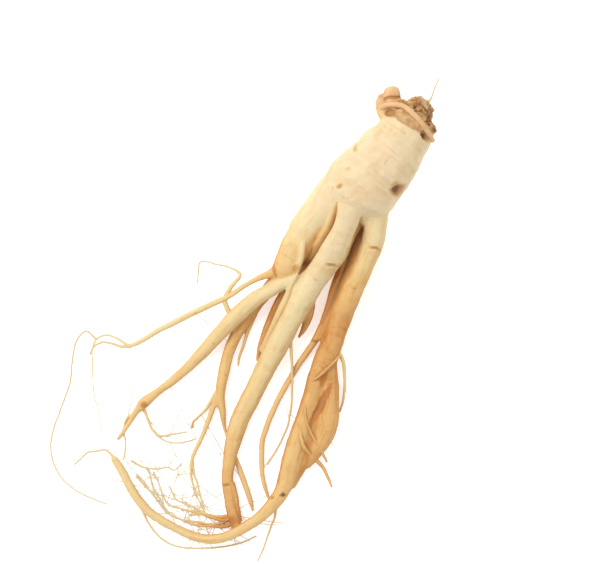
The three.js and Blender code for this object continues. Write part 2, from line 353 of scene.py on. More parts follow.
class Shape(Graph):
    """A Geometry Nodes tree: geometry goes in and out, and named attributes carry what the skin needs."""

    def __init__(self, name: str, sizes: dict[str, object]) -> None:
        """Makes the tree with its geometry sockets and a named input for each size.

        Args:
            name: the tree's name.
            sizes: what the modifier will give each input, which says what kind the input is.
        """
        super().__init__(bpy.data.node_groups.new(name, "GeometryNodeTree"))
        sockets = self.tree.interface
        sockets.new_socket("Geometry", in_out="INPUT", socket_type="NodeSocketGeometry")
        sockets.new_socket("Geometry", in_out="OUTPUT", socket_type="NodeSocketGeometry")
        for label, value in sizes.items():
            sockets.new_socket(label, in_out="INPUT", socket_type=INPUT_KINDS[type(value)])
        self.entry = self.node("NodeGroupInput")

    def given(self, name: str) -> Term:
        """What the modifier gives one of the tree's inputs."""
        return self.out(self.entry, name)

    def named(self, name: str, kind: Kind = Kind.NUMBER) -> Term:
        """The value of a named attribute."""
        made = self.node("GeometryNodeInputNamedAttribute", {"data_type": kind.value}, {"Name": name})
        return self.out(made, "Attribute")

    def store(
        self,
        geometry: Term,
        name: str,
        value: object,
        kind: Kind = Kind.NUMBER,
        domain: Domain = Domain.POINT,
    ) -> Term:
        """Stores a named attribute.

        Args:
            geometry: what gets it.
            name: its name.
            value: its value on each element.
            kind: a number or a vector.
            domain: points or instances.

        Returns:
            The geometry with the attribute.
        """
        settings = {"data_type": kind.value, "domain": domain.value}
        inputs = {"Geometry": geometry, "Name": name, "Value": value}
        return self.out(self.node("GeometryNodeStoreNamedAttribute", settings, inputs))

    def random(self, low: float | Colour, high: float | Colour, seed: Term) -> Term:
        """A random value for each element.

        Args:
            low: the lowest number, or a vector of them.
            high: the highest.
            seed: the seed's Term.

        Returns:
            A number, or a vector where low and high are vectors.
        """
        kind = Kind.VECTOR if isinstance(low, tuple) else Kind.NUMBER
        inputs = {"Min": low, "Max": high, "Seed": seed}
        return self.out(self.node("FunctionNodeRandomValue", {"data_type": kind.value}, inputs))

    def object_geometry(self, name: str) -> Term:
        """The geometry of an object that the modifier gives."""
        return self.out(self.node("GeometryNodeObjectInfo", None, {"Object": self.given(name)}), "Geometry")

    def position(self) -> Term:
        """Where each point is."""
        return self.out(self.node("GeometryNodeInputPosition"))

    def normal(self) -> Term:
        """Which way each point's surface faces."""
        return self.out(self.node("GeometryNodeInputNormal"))

    def place(self, geometry: Term, position: object = None, offset: object = None) -> Term:
        """Geometry with its points put somewhere, or moved by an offset."""
        inputs = {"Geometry": geometry, "Position": position, "Offset": offset}
        return self.out(self.node("GeometryNodeSetPosition", None, inputs))

    def blur(self, value: Term, times: object, weight: object = 1.0, kind: Kind = Kind.NUMBER) -> Term:
        """A value averaged with its neighbours' some times."""
        inputs = {"Value": value, "Iterations": times, "Weight": weight}
        return self.out(self.node("GeometryNodeBlurAttribute", {"data_type": kind.value}, inputs))

    def smooth(self, geometry: Term) -> Term:
        """Geometry that is shaded smooth."""
        return self.out(self.node("GeometryNodeSetShadeSmooth", None, {"Geometry": geometry}))

    def sweep(self, curve: Term, sides: object) -> Term:
        """A closed tube along each curve, as thick as its girth, with its place on a unit ring stored.

        Args:
            curve: curves with the attribute girth.
            sides: how many sides the tube has.

        Returns:
            The tubes.
        """
        circle = self.node("GeometryNodeCurvePrimitiveCircle", None, {"Resolution": sides, "Radius": 1.0})
        ring = self.store(self.out(circle), "ring", self.position(), Kind.VECTOR)
        radius = self.split(self.named("girth", Kind.VECTOR))[0]
        inputs = {"Curve": curve, "Profile Curve": ring, "Scale": radius, "Fill Caps": True}
        return self.out(self.node("GeometryNodeCurveToMesh", None, inputs))

    def finish(self, geometry: Term) -> bpy.types.NodeTree:
        """Ends the tree in Realize Instances and Set Material, with the input named Material.

        Args:
            geometry: what the tree has made.

        Returns:
            The finished tree.
        """
        real = self.out(self.node("GeometryNodeRealizeInstances", None, {"Geometry": geometry}))
        dress = {"Geometry": real, "Material": self.given("Material")}
        dressed = self.node("GeometryNodeSetMaterial", None, dress)
        self.node("NodeGroupOutput", None, {"Geometry": self.out(dressed)})
        return self.tree


# ---------------------------------------------------------------------------------------------------
# The roots, as stations (x, y, z, radius) in millimetres from the thick end to the tip
# ---------------------------------------------------------------------------------------------------

BODY_RADIUS = 15.0
BODY_FLATNESS = 0.93
CAP_LENGTH = 0.7  # how far a round end stands past its last station, in radii there


@dataclass(frozen=True)
class Root:
    """One root.

    Its tones say how far it has turned from cream to orange along its length, its hairs how densely fine
    hairs grow on it, and bud how far its skin is a bud's.
    """

    name: str
    stations: tuple[Station, ...]
    tones: tuple[float, ...] = (0.3, 0.24, 0.2)
    flatness: float = 1.0
    hairs: tuple[float, ...] = (0.0,)
    bud: float = 0.0


BODY_ROOT = Root(
    "body",
    (
        (19.4, 24.6, 11.4, 5.6), (17.5, 22, 11, 9.3), (14.5, 16.5, 11, 10.5), (9, 8.5, 11.5, 12.6),
        (2.5, 0.5, 12.8, 14.1), (-4.5, -7.5, 13.7, BODY_RADIUS), (-7.5, -12.5, 13.6, 13.4),
        (-9.5, -16.5, 13.4, 9.5),
    ),
    tones=(0.3, 0.02, 0.0, 0.0, 0.0),
    flatness=BODY_FLATNESS,
)

LEGS = (
    Root(
        "left_leg",
        (
            (-6, 2, 13.6, 7), (-13.2, -7, 13.7, 7.7), (-18.4, -14, 13.4, 7.9), (-24, -21, 12, 7.1),
            (-28.2, -28, 10.8, 6.9), (-32, -35, 9.4, 6.4), (-36, -41.4, 8, 4.8), (-40, -46, 6.6, 2.9),
        ),
        tones=(0.0, 0.03, 0.13, 0.42, 0.92),
    ),
    Root(
        "middle_leg",
        (
            (-3.5, -3, 15.4, 9), (-9.5, -15.5, 16.4, 8.2), (-12.5, -23, 15.8, 7), (-16.5, -32, 14.2, 6.7),
            (-20.5, -39, 12.6, 5.9), (-24, -44.5, 11.4, 5.3), (-28.5, -52, 9.8, 5.2), (-33, -60, 8, 5.1),
            (-37, -68, 6.2, 4.8), (-41, -76, 4.8, 4.4), (-45, -84, 4, 4.1), (-49, -92, 3.9, 4),
            (-53, -100, 3.7, 3.8), (-55.5, -108, 3.3, 3.4), (-57.2, -116, 3, 2.8), (-58, -124, 2.5, 2.4),
            (-57.2, -131, 2.5, 2.5), (-56, -137.4, 2.4, 2.4), (-54.6, -142.4, 2.3, 2.2),
            (-53.4, -146, 2.1, 1.8),
        ),
        tones=(0.0, 0.02, 0.08, 0.16, 0.25, 0.36, 0.5, 0.72, 0.95),
        hairs=(0.0, 0.0, 0.0, 0.0, 0.1),
    ),
    Root(
        "right_leg",
        (
            (-2.5, -9, 13.2, 9), (-0.4, -16, 12.8, 7.4), (0.4, -21.5, 12.6, 5.6), (0.2, -28, 12, 4.7),
            (-2, -34.5, 11, 4.4), (-4.8, -41, 9.8, 4.4), (-8.4, -48.5, 8.4, 4.7), (-11.5, -56, 7, 4.7),
            (-14.4, -64, 5.8, 4.5), (-17, -72, 5, 4.7), (-19.8, -79, 4.6, 4.7), (-22.6, -86, 4, 4),
            (-24.8, -93, 3.7, 3.7), (-27.2, -100.5, 3.8, 3.8), (-29.6, -108, 4, 4.1),
            (-32, -116, 4.2, 4.1), (-34, -123, 4.4, 3.7), (-36.4, -129, 5, 3.2), (-39.6, -133.8, 5.5, 2.8),
            (-43.6, -138, 5.7, 2.5), (-48.4, -141.6, 5.8, 2.3), (-54, -145, 5.6, 2.15),
            (-60, -147.4, 4.6, 2), (-66, -148.2, 3.2, 1.95), (-72, -147, 2.1, 1.9),
            (-78.4, -144.2, 1.7, 1.8), (-84.8, -140.8, 1.7, 1.8), (-90.4, -136.6, 1.8, 1.9),
            (-94.6, -131.6, 1.8, 1.9), (-97.8, -126.2, 1.7, 1.8), (-100.6, -121, 1.7, 1.75),
            (-103.8, -116, 1.5, 1.5),
        ),
        tones=(0.0, 0.15, 0.6, 0.9, 0.76, 0.64, 0.6, 0.48, 0.38, 0.34, 0.3),
        hairs=(0.0, 0.0, 0.0, 0.05, 0.05),
    ),
)

BRANCHES = (
    Root(
        "long_branch",
        (
            (-23, -38, 11, 3), (-28.8, -41.6, 10.6, 2.7), (-35, -44.8, 10.2, 2.7),
            (-41.6, -48.4, 9.6, 2.9), (-48.8, -53.4, 8.6, 3.3), (-56, -60, 6.8, 3.3),
            (-62.8, -67.2, 4.8, 2.9), (-68.8, -73.8, 3.4, 2.5), (-74.8, -79.8, 2.5, 2.1),
            (-80.8, -85.2, 2, 1.75), (-86.8, -89.6, 1.75, 1.65), (-91.6, -93.4, 2, 2.15),
            (-94.6, -96.8, 1.4, 1.35), (-97.6, -101.2, 1.1, 1.15), (-100.2, -105.4, 0.9, 0.95),
            (-102.4, -108.2, 0.7, 0.7),
        ),
        tones=(0.1, 0.12, 0.25, 0.38, 0.48, 0.52, 0.4),
        hairs=(0.0, 0.0, 0.0, 0.06),
    ),
    Root(
        "hook_branch",
        (
            (-35.5, -38, 10.4, 2.4), (-40, -41, 10.2, 1.9), (-44, -42.6, 10, 1.4), (-48.8, -45, 9.6, 1.1),
            (-53.6, -48, 9, 1.15), (-58.8, -51.2, 8.2, 1.25), (-64.8, -54, 7.2, 1.3),
            (-70.8, -56.8, 6, 1.35), (-76.8, -59.8, 4.8, 1.35), (-84.8, -63.8, 3.2, 1.25),
            (-92.8, -68.4, 1.8, 1.1), (-97.6, -70.4, 1.1, 0.85), (-102.8, -67.4, 0.9, 0.6),
            (-107.2, -66, 0.8, 0.55), (-110.8, -67.6, 0.7, 0.55), (-112.4, -71.4, 0.6, 0.5),
            (-112.4, -80, 0.5, 0.45), (-112, -90, 0.45, 0.42), (-110, -98, 0.45, 0.4),
            (-108.8, -105, 0.45, 0.36), (-108.4, -110.5, 0.4, 0.32),
        ),
        tones=(0.7, 0.4, 0.26, 0.2, 0.16, 0.1, 0.05),
        hairs=(0.0, 0.02, 0.03),
    ),
    Root(
        "under_branch",
        (
            (-34.5, -38, 8, 3.2), (-40, -46, 6, 2.9), (-45.6, -53, 3.8, 2.6), (-50, -59.2, 2.6, 2.6),
            (-54.4, -66, 2.4, 2.5), (-57.8, -74, 2.3, 2.4), (-60, -83, 2.2, 2.3), (-60.8, -90.5, 1.9, 1.9),
            (-60, -97.6, 1.4, 1.4), (-59.4, -103, 0.75, 0.85), (-57.4, -109, 0.6, 0.7),
            (-55, -115, 0.8, 0.85), (-52.8, -121, 1.1, 1.2), (-50.4, -128, 1.1, 1.2),
            (-48.6, -133.5, 1, 1), (-47.8, -137, 0.8, 0.6),
        ),
        tones=(0.9, 0.75, 0.6, 0.55, 0.5, 0.45),
        hairs=(0.0, 0.0, 0.04, 0.1),
    ),
    Root(
        "forked_twig",
        (
            (-60.8, -87, 1.9, 1.6), (-63.6, -95, 1.4, 1.2), (-66.8, -103, 1.1, 1.05),
            (-69.6, -110, 0.95, 0.95), (-72, -115.4, 0.85, 0.85), (-72.8, -122, 0.7, 0.7),
            (-71.6, -128, 0.6, 0.55), (-68.8, -134.6, 0.5, 0.45),
        ),
        tones=(0.5, 0.38, 0.3, 0.3),
        hairs=(0.0, 0.1, 0.3, 0.5),
    ),
    Root(
        "shaded_twig",
        (
            (-30, -41.5, 9, 2.2), (-33.5, -47, 7.6, 1.9), (-37.5, -53.5, 5.4, 1.9), (-40.6, -60, 3, 1.8),
            (-43.2, -66.5, 1.6, 1.7), (-45, -72, 1.2, 1.3), (-46.2, -76.4, 0.9, 0.7),
        ),
        tones=(0.9, 1.0, 0.8),
    ),
    Root(
        "strap_twig",
        (
            (-26.4, -21.4, 15.6, 0.5), (-27, -26, 16.4, 0.8), (-27.6, -30, 16.8, 1.15),
            (-28, -34, 16.5, 1.2), (-29.4, -38.5, 15.2, 1.1), (-31.6, -44.5, 12.8, 1.1),
            (-34.9, -51.5, 10, 1.05), (-38.6, -59, 7.4, 1), (-42, -66.5, 5, 0.95), (-44.6, -72.5, 3.6, 0.75),
        ),
        tones=(0.2, 0.12, 0.16, 0.3, 0.35),
    ),
    Root(
        "short_twig",
        (
            (-46, -55.5, 3.6, 1.1), (-49.6, -64.6, 1.2, 0.9), (-51.6, -70.4, 0.9, 0.8),
            (-53.4, -75, 0.8, 0.7), (-53.9, -78.6, 0.7, 0.5),
        ),
        tones=(0.4, 0.4, 0.6),
    ),
    Root(
        "side_twig",
        (
            (-25, -50, 9, 2.2), (-24.8, -57, 6.4, 1.8), (-27, -63, 4.6, 1.4), (-29.4, -67, 3.6, 0.7),
        ),
        tones=(0.6, 0.8, 0.9),
    ),
    Root(
        "stub_branch",
        (
            (-17.6, -77, 4.8, 3.6), (-16.8, -86, 4.4, 3.8), (-16.8, -94, 4, 4), (-17.4, -101, 3.9, 4.2),
            (-19.4, -107.6, 3.6, 3.8), (-22.8, -113.2, 3.1, 3.1), (-26, -118.4, 2.6, 1.9),
        ),
        tones=(0.9, 0.8, 0.7, 0.75, 0.8),
    ),
    Root(
        "between_branch",
        (
            (-5, -22, 9.6, 3.6), (-8, -31, 9, 3.5), (-11, -40, 7.8, 3.4), (-13.8, -48, 6.4, 3.2),
            (-16.6, -56, 5.2, 2.6), (-20, -63.4, 3.8, 1.9), (-23.4, -69.4, 2.4, 1.5),
            (-26.6, -74, 1.6, 1.35), (-30, -79, 1.25, 1.3), (-34, -85.4, 1.2, 1.25),
            (-38, -93, 1.2, 1.25), (-41.6, -101, 1.2, 1.2), (-44, -109, 1.15, 1.2),
            (-44.4, -116, 1.1, 1.15), (-44, -123, 1, 1.05), (-42.8, -128, 0.85, 0.9),
            (-41.2, -132.4, 0.7, 0.65),
        ),
        tones=(1.0, 1.0, 0.9, 0.6, 0.5, 0.45, 0.45),
        hairs=(0.0, 0.0, 0.03, 0.08),
    ),
    Root(
        "inner_flank",
        (
            (-15, -15, 9, 4.6), (-20, -24, 8, 4.8), (-24, -32, 6.8, 4.4), (-27.6, -40, 5.2, 3.2),
            (-31, -46.6, 3.8, 1.9),
        ),
        # full orange tones: painted shade in the channel between the left and middle legs
        tones=(0.7, 1.0, 1.0, 1.0),
    ),
    Root(
        "stub_web",
        (
            (-20.6, -84, 3.6, 3), (-21.4, -92, 3.2, 3.1), (-22.8, -100, 3, 3.2),
            (-24.8, -107.4, 3, 3.3),
            (-27, -113.6, 3, 3.3), (-29.6, -119.6, 3, 3.2), (-32.6, -126, 3.2, 2.4),
        ),
        tones=(1.0, 1.0, 0.9),
    ),
)

CROWN = (
    Root(
        "bud",
        (
            (9.5, 22.5, 12, 3.5), (8.4, 26.2, 12.8, 3.1), (7.8, 29.4, 13.2, 3.6),
            (7.7, 31.2, 13.4, 3.2),
        ),
        tones=(0.7, 0.6, 0.5),
        bud=1.0,
    ),
    Root(
        "bud_scale",
        (
            (6.4, 19.5, 11.4, 2.8), (4, 23.6, 12, 2.6), (3.5, 27.2, 12.4, 2.3), (3.9, 29.2, 12.6, 1.7),
        ),
        tones=(0.5, 0.3, 0.3),
        bud=0.9,
    ),
    Root(
        "rim_knob",
        (
            (20, 18, 11.4, 4), (23.6, 16.2, 12, 2.4), (25, 15.4, 12.2, 1.4),
        ),
        tones=(1.0, 1.0),
    ),
)

STRAP = Root(
    "strap",
    (
        (3.6, 24.6, 14, 1.2), (7.4, 25.6, 16, 1.1), (12, 24.7, 18, 1.1), (16, 21.4, 19.9, 1.1),
        (19.6, 17.4, 19.5, 1.1), (22.4, 13.8, 16.4, 1.1), (23.9, 11.4, 13.2, 0.9),
    ),
    tones=(0.5, 0.42, 0.4, 0.45),
    bud=1.0,
)

ROOTLETS = (
    Root(
        "plumb_rootlet",
        (
            (-33, -63, 7.6, 0.9), (-32.4, -72, 6, 0.65), (-32, -80, 3.8, 0.55), (-32, -88, 1.6, 0.5),
            (-32.6, -96, 0.7, 0.45), (-34, -103, 0.5, 0.42), (-37, -110, 0.45, 0.4),
            (-39.8, -115, 0.45, 0.4), (-42, -118.4, 0.45, 0.35),
        ),
        hairs=(0.0, 0.0, 0.15),
    ),
    Root(
        "saddle_rootlet",
        (
            (-29, -102, 6.4, 1.1), (-27.6, -110, 7.8, 0.95), (-23.8, -115, 4.4, 0.85),
            (-20, -119, 1.2, 0.75), (-17.6, -123.4, 0.7, 0.65), (-16, -127.4, 0.5, 0.45),
        ),
        tones=(0.75, 0.65, 0.6),
        hairs=(0.0, 0.2, 0.3),
    ),
    Root(
        "edge_rootlet",
        (
            (-15.4, -70, 6.8, 1), (-11.8, -76, 5.6, 0.75), (-10.8, -84, 3, 0.65), (-11.2, -91, 1.2, 0.55),
            (-12.6, -97, 0.6, 0.45),
        ),
        hairs=(0.0, 0.15),
    ),
    Root(
        "bent_rootlet",
        (
            (-57, -57.6, 6.6, 1.1), (-58.8, -51.6, 8, 1), (-56.4, -46.8, 8.6, 0.95),
            (-52.8, -41.8, 8.2, 0.7), (-56, -39.4, 7.6, 0.45), (-61.6, -37.8, 6.8, 0.38),
            (-68.8, -36.8, 5.6, 0.36), (-69.6, -40.8, 4.8, 0.34), (-70, -45.2, 4, 0.3),
        ),
        hairs=(0.0, 0.1),
    ),
    Root(
        "tail_hair",
        (
            (-103, -117, 1.5, 0.7), (-105.4, -113.8, 1.2, 0.5), (-107.6, -112.4, 0.9, 0.4),
            (-111, -113, 0.6, 0.38), (-114.6, -113.6, 0.5, 0.36), (-117.4, -116.2, 0.45, 0.34),
            (-120, -118.4, 0.4, 0.3),
        ),
    ),
    Root(
        "outer_hair",
        (
            (-111, -67.8, 0.7, 0.45), (-115.2, -64.6, 0.6, 0.36), (-118.8, -68, 0.5, 0.34),
            (-120.6, -76, 0.45, 0.34), (-121.8, -86, 0.42, 0.33), (-125, -95, 0.42, 0.32),
            (-128.2, -104, 0.4, 0.32), (-129.4, -111, 0.4, 0.31), (-128, -118.4, 0.4, 0.31),
            (-124.6, -124.2, 0.38, 0.3), (-119.6, -128.6, 0.38, 0.3), (-113.4, -131.8, 0.36, 0.3),
            (-106.8, -134.4, 0.36, 0.28),
        ),
    ),
    Root(
        "keel_hair",
        (
            (-93.4, -133.4, 1.4, 0.7), (-91, -140, 0.8, 0.5), (-87, -146, 0.55, 0.42),
            (-82.4, -149.8, 0.5, 0.4), (-76.6, -151.8, 0.45, 0.38), (-68.4, -152.2, 0.45, 0.36),
            (-59.4, -151.6, 0.45, 0.36), (-51.8, -149.8, 0.45, 0.34), (-46.4, -147.4, 0.4, 0.3),
        ),
    ),
    Root(
        "drop_hair",
        (
            (-38.6, -133, 5, 0.9), (-38.8, -138.8, 3, 0.5), (-40.6, -144, 1.4, 0.42),
            (-42.4, -149, 0.6, 0.4), (-44, -153.2, 0.5, 0.36), (-46, -157.4, 0.4, 0.3),
        ),
    ),
    Root(
        "fan_hair_high",
        (
            (-57, -139, 2.2, 0.9), (-62, -139.4, 1.4, 0.6), (-69.6, -137.8, 0.8, 0.48),
            (-76, -136.4, 0.6, 0.42), (-82, -134.4, 0.55, 0.4), (-84, -131, 0.5, 0.38),
            (-86, -125.4, 0.45, 0.36), (-88, -121.4, 0.42, 0.32),
        ),
        tones=(0.9, 0.5, 0.3, 0.2),
        hairs=(0.4, 0.7, 0.6),
    ),
    Root(
        "fan_hair_low",
        (
            (-57, -140.4, 1.8, 0.9), (-63.2, -142.6, 0.9, 0.55), (-70.4, -141.6, 0.6, 0.45),
            (-77, -140.4, 0.5, 0.42), (-82.4, -137.8, 0.48, 0.4), (-87.6, -131.4, 0.45, 0.38),
            (-92, -125, 0.42, 0.34), (-95, -122, 0.4, 0.3),
        ),
        tones=(0.9, 0.5, 0.3, 0.2),
        hairs=(0.3, 0.6, 0.5),
    ),
    Root(
        "cross_hair",
        (
            (-92.6, -94.6, 1.5, 0.9), (-91.2, -97.4, 0.9, 0.6), (-88.4, -104.4, 0.6, 0.48),
            (-85, -106.8, 0.5, 0.45), (-80, -106.2, 0.48, 0.42), (-74.8, -105.2, 0.45, 0.36),
        ),
        hairs=(0.2, 0.4),
    ),
    Root(
        "crown_hair",
        (
            (21, 25, 12, 0.8), (23.4, 28.6, 12.8, 0.4), (24.8, 32.4, 13.2, 0.34), (26.4, 36, 13.4, 0.3),
        ),
        hairs=(0.15,),
    ),
)

WEB = (
    Root(
        "cross_hair_end",
        (
            (-86.8, -106.4, 0.5, 0.44), (-82.8, -109.2, 0.45, 0.36), (-76.8, -109.6, 0.4, 0.34),
            (-70.8, -108, 0.35, 0.29),
        ),
        hairs=(0.5,),
    ),
    Root(
        "web_strand_long",
        (
            (-96.8, -116.8, 1.6, 0.52), (-93, -119.2, 0.7, 0.39), (-90.4, -120.4, 0.5, 0.39),
            (-88, -128, 0.45, 0.36), (-85.6, -132, 0.5, 0.36), (-83.6, -135.2, 0.6, 0.34),
        ),
        hairs=(0.3, 0.5, 0.7),
    ),
    Root(
        "web_strand_level",
        (
            (-90.8, -120, 0.5, 0.39), (-86, -120.2, 0.4, 0.34), (-82, -119.6, 0.4, 0.34),
            (-79.6, -120.6, 0.4, 0.31), (-76.6, -118, 0.35, 0.26),
        ),
        hairs=(0.6,),
    ),
    Root(
        "web_strand_steep",
        (
            (-94.8, -123.2, 0.9, 0.47), (-91, -127.4, 0.5, 0.36), (-86.4, -130.8, 0.45, 0.34),
            (-84, -134.6, 0.5, 0.29),
        ),
        hairs=(0.5,),
    ),
    Root(
        "web_strand_low",
        (
            (-81.6, -127.2, 0.4, 0.34), (-80, -130.4, 0.4, 0.36), (-78.4, -132.8, 0.45, 0.39),
            (-72.8, -135.2, 0.5, 0.44), (-66, -138.6, 0.8, 0.52),
        ),
        hairs=(0.8,),
    ),
    Root(
        "fork_side",
        (
            (-62.4, -89.6, 1.8, 1.1), (-65, -93.4, 1, 0.75), (-67.4, -96.8, 0.7, 0.6),
            (-71.6, -100.8, 0.55, 0.5), (-72.2, -103.4, 0.45, 0.52),
        ),
        tones=(0.4, 0.3, 0.3, 0.9),
        hairs=(0.0, 0.2, 0.5),
    ),
    Root(
        "fork_tail",
        (
            (-72.2, -117.6, 0.8, 0.5), (-71.6, -121.6, 0.5, 0.47), (-69.8, -128, 0.45, 0.42),
            (-68.4, -133.4, 0.45, 0.39), (-67.4, -137.6, 0.6, 0.36),
        ),
        hairs=(0.8,),
    ),
    Root(
        "long_branch_hair",
        (
            (-95.4, -97.6, 1.3, 0.6), (-98.4, -99.6, 0.9, 0.55), (-99.8, -103.8, 0.5, 0.42),
            (-99.2, -110.4, 0.4, 0.36), (-100, -116.4, 0.5, 0.31),
        ),
        hairs=(0.2,),
    ),
    Root(
        "tip_strand",
        (
            (-56.4, -125.6, 3.4, 1.3), (-55, -130.6, 3, 1.2), (-54.2, -135.8, 2.6, 1.25),
            (-53.2, -140.6, 2, 1.1),
        ),
        tones=(0.8, 0.75, 0.85, 0.9),
    ),
    Root(
        "tip_tangle_high",
        (
            (-55.8, -139.6, 2.6, 0.9), (-60, -140.8, 1.8, 0.8), (-64, -139.8, 1.2, 0.6),
            (-68.4, -138.4, 0.7, 0.59), (-73.4, -138.8, 0.5, 0.39),
        ),
        tones=(1, 0.9, 0.6, 0.52),
        hairs=(0.4, 0.9),
    ),
    Root(
        "tip_tangle_low",
        (
            (-55.4, -141.8, 2, 0.9), (-59.6, -143.4, 1.2, 0.8), (-64.4, -143.2, 0.8, 0.55),
            (-70.6, -143, 0.5, 0.52), (-75.6, -141.4, 0.45, 0.36),
        ),
        tones=(1, 0.9, 0.6, 0.52),
        hairs=(0.4, 0.7),
    ),
    Root(
        "hook_second_strand",
        (
            (-97, -70.8, 1.2, 0.6), (-101, -70.8, 0.9, 0.59), (-104.6, -69.6, 0.7, 0.49),
            (-108, -69, 0.6, 0.44), (-111.6, -70.4, 0.55, 0.39), (-113.6, -74, 0.5, 0.31),
        ),
    ),
    Root(
        "leg_strand_high",
        (
            (-13, -74.4, 7.4, 0.6), (-16, -77.6, 9, 0.5), (-18.8, -80, 9.6, 0.6),
            (-21.4, -82.6, 9.2, 0.55), (-24.4, -84.6, 7.4, 0.47),
        ),
        tones=(0.7,),
    ),
    Root(
        "leg_strand_low",
        (
            (-27, -95, 7.3, 0.6), (-26.2, -100, 7.5, 0.5), (-24.6, -104.6, 6.6, 0.5),
            (-22.2, -109, 6.4, 0.59), (-20, -113, 5.4, 0.52), (-18, -117, 3, 0.47),
        ),
        tones=(0.7,),
        hairs=(0.1,),
    ),
)

# Stations of the grooves are (x, y, 0, half width), and their tones are how strong the grooves and their
# painted shade are.
GROOVES = (
    Root(
        "left_groove",
        (
            (-14.2, -13.4, 0, 0.5), (-15, -16, 0, 0.9), (-16.2, -20.4, 0, 1), (-18.2, -24.6, 0, 1.05),
            (-22.2, -31, 0, 1.1), (-26.4, -37.6, 0, 1), (-29, -41.4, 0, 0.6),
        ),
        tones=(0.3, 1.0, 1.0, 1.0, 1.0, 0.5),
    ),
    Root(
        "right_groove",
        (
            (-4.2, -19.6, 0, 0.7), (-4.6, -22.6, 0, 1.1), (-6.2, -27.4, 0, 1.3), (-9.3, -35.6, 0, 1.3),
            (-12.9, -44.4, 0, 1.1), (-15.6, -51.8, 0, 0.8), (-20.2, -61.4, 0, 0.5),
        ),
        tones=(0.4, 1.0, 1.0, 1.0, 0.9, 0.7, 0.4),
    ),
    Root(
        "twig_groove",
        (
            (-30.7, -44.2, 0, 0.3), (-32.6, -49, 0, 0.4), (-34.4, -53.2, 0, 0.4), (-37, -58.4, 0, 0.4),
            (-39.6, -63.4, 0, 0.4), (-43, -70.2, 0, 0.3),
        ),
        tones=(0.2, 0.45, 0.45, 0.35, 0.1),
    ),
)


@dataclass(frozen=True)
class Mark:
    """A scar, pit, spot or hole on the upper side: an ellipse seen from above.

    Lengths are in millimetres. A depth over 0 sinks the skin and one under 0 raises it, stain is
    how dark the mark is, and warmth how far it turns the bark towards orange. Most marks are
    the root's own scars and spots, and a few are painted shade on a shaded flank or in a crevice.
    """

    x: float
    y: float
    length: float
    width: float
    turn: float = 0.0
    depth: float = 0.0
    stain: float = 0.5
    warmth: float = 0.0


BODY_MARKS = (
    Mark(-6.8, 8.0, 4.8, 1.7, 80, 0.15, 0.3, 0.5),
    Mark(-10.0, 0.0, 2.1, 1.6, 20, 0.12, 0.26, 0.3),
    Mark(-13.2, -7.2, 2.8, 2.1, 30, 0.2, 0.5, 0.3),
    Mark(-12.8, 2.8, 1.8, 1.3, 0, 0.06, 0.16),
    Mark(10.0, -8.6, 6.2, 4.4, 20, 1.5, 0.9),
    Mark(13.0, -9.4, 3.4, 3.0, 0, 0.8, 0.7),
    Mark(8.6, -6.2, 4.0, 1.6, 20, 0.3, 0.35, 0.2),
)
CROWN_MARKS = (
    Mark(20.8, 13.0, 4.4, 2.6, -50, 1.7, 0.92),
    Mark(17.0, 25.0, 2.6, 2.0, 60, 1.6, 0.9),
    Mark(6.8, 22.4, 3.8, 2.6, 20, 0.7, 0.6),
    Mark(8.2, 28.3, 7.0, 1.3, 4, 0.6, 0.55, 0.4),
    Mark(24.6, 15.6, 3.2, 3.2, 0, 0.0, 0.85),
)
LEG_MARKS = (
    Mark(-16.2, -38.2, 4.8, 1.3, -8, 0.5, 0.5, 0.4),
    Mark(-12.4, -38.4, 3.0, 2.0, 0, 0.3, 0.42, 0.6),
    Mark(-15.6, -41.2, 8.0, 4.6, -8, 0.25, 0.0, 0.3),
    Mark(0.9, -31.4, 4.8, 1.3, -14, 0.4, 0.6, 0.3),
    Mark(3.4, -35.0, 3.0, 6.0, 0, 0.0, 0.0, 0.7),
    # painted shade: a dark orange crevice line at the left leg's lower end
    Mark(-30.4, -39.6, 4.2, 2.4, 60, 0.3, 0.3, 0.8),
    Mark(-39.2, -40.0, 7.0, 1.3, -75, 0.35, 0.45, 0.3),
    # painted shade: a warm band on the left leg's shaded flank beside the left groove
    Mark(-23.4, -30.0, 18.0, 5.0, 56, 0.0, 0.0, 0.6),
    Mark(-58.8, -126.4, 5.0, 0.9, 8, 0.35, 0.7, 0.4),
    Mark(-35.6, -130.0, 2.4, 1.8, 0, 0.3, 0.9),
    Mark(-33.0, -130.6, 1.4, 1.1, 0, 0.2, 0.6),
    Mark(-40.0, -131.4, 1.8, 1.2, 30, 0.2, 0.55),
    Mark(-22.8, -68.4, 2.2, 1.7, 0, -0.2, 0.7, 0.4),
    Mark(-91.6, -94.2, 3.2, 2.4, 0, 0.1, 0.18, 0.7),
    Mark(-57.0, -141.0, 5.0, 3.6, 0, 0.3, 0.3, 1.0),
    Mark(-20.4, -94.0, 16.0, 2.6, 63, 0.7, 0.3, 0.9),
    Mark(-19.6, -84.0, 7.0, 2.6, 70, 0.2, 0.0, 0.4),
)
MARKS = (*BODY_MARKS, *CROWN_MARKS, *LEG_MARKS)


# ---------------------------------------------------------------------------------------------------
# From stations to tubes
# ---------------------------------------------------------------------------------------------------


def link_new(name: str, mesh: bpy.types.Mesh) -> bpy.types.Object:
    """Makes an object of a mesh, at the origin.

    Args:
        name: the object's name.
        mesh: its mesh.

    Returns:
        The object, linked to the scene.
    """
    made = bpy.data.objects.new(name, mesh)
    bpy.context.scene.collection.objects.link(made)
    return made


def evaluated_mesh(maker: bpy.types.Object, name: str) -> bpy.types.Object:
    """Turns what an object's modifiers make into a plain mesh object, and removes the object.

    Args:
        maker: the object with its live modifiers.
        name: the plain object's name.

    Returns:
        A mesh object at the origin, with no modifiers.
    """
    depsgraph = bpy.context.evaluated_depsgraph_get()
    mesh = bpy.data.meshes.new_from_object(
        maker.evaluated_get(depsgraph), preserve_all_data_layers=True, depsgraph=depsgraph
    )
    bpy.data.objects.remove(maker)
    mesh.name = name
    return link_new(name, mesh)


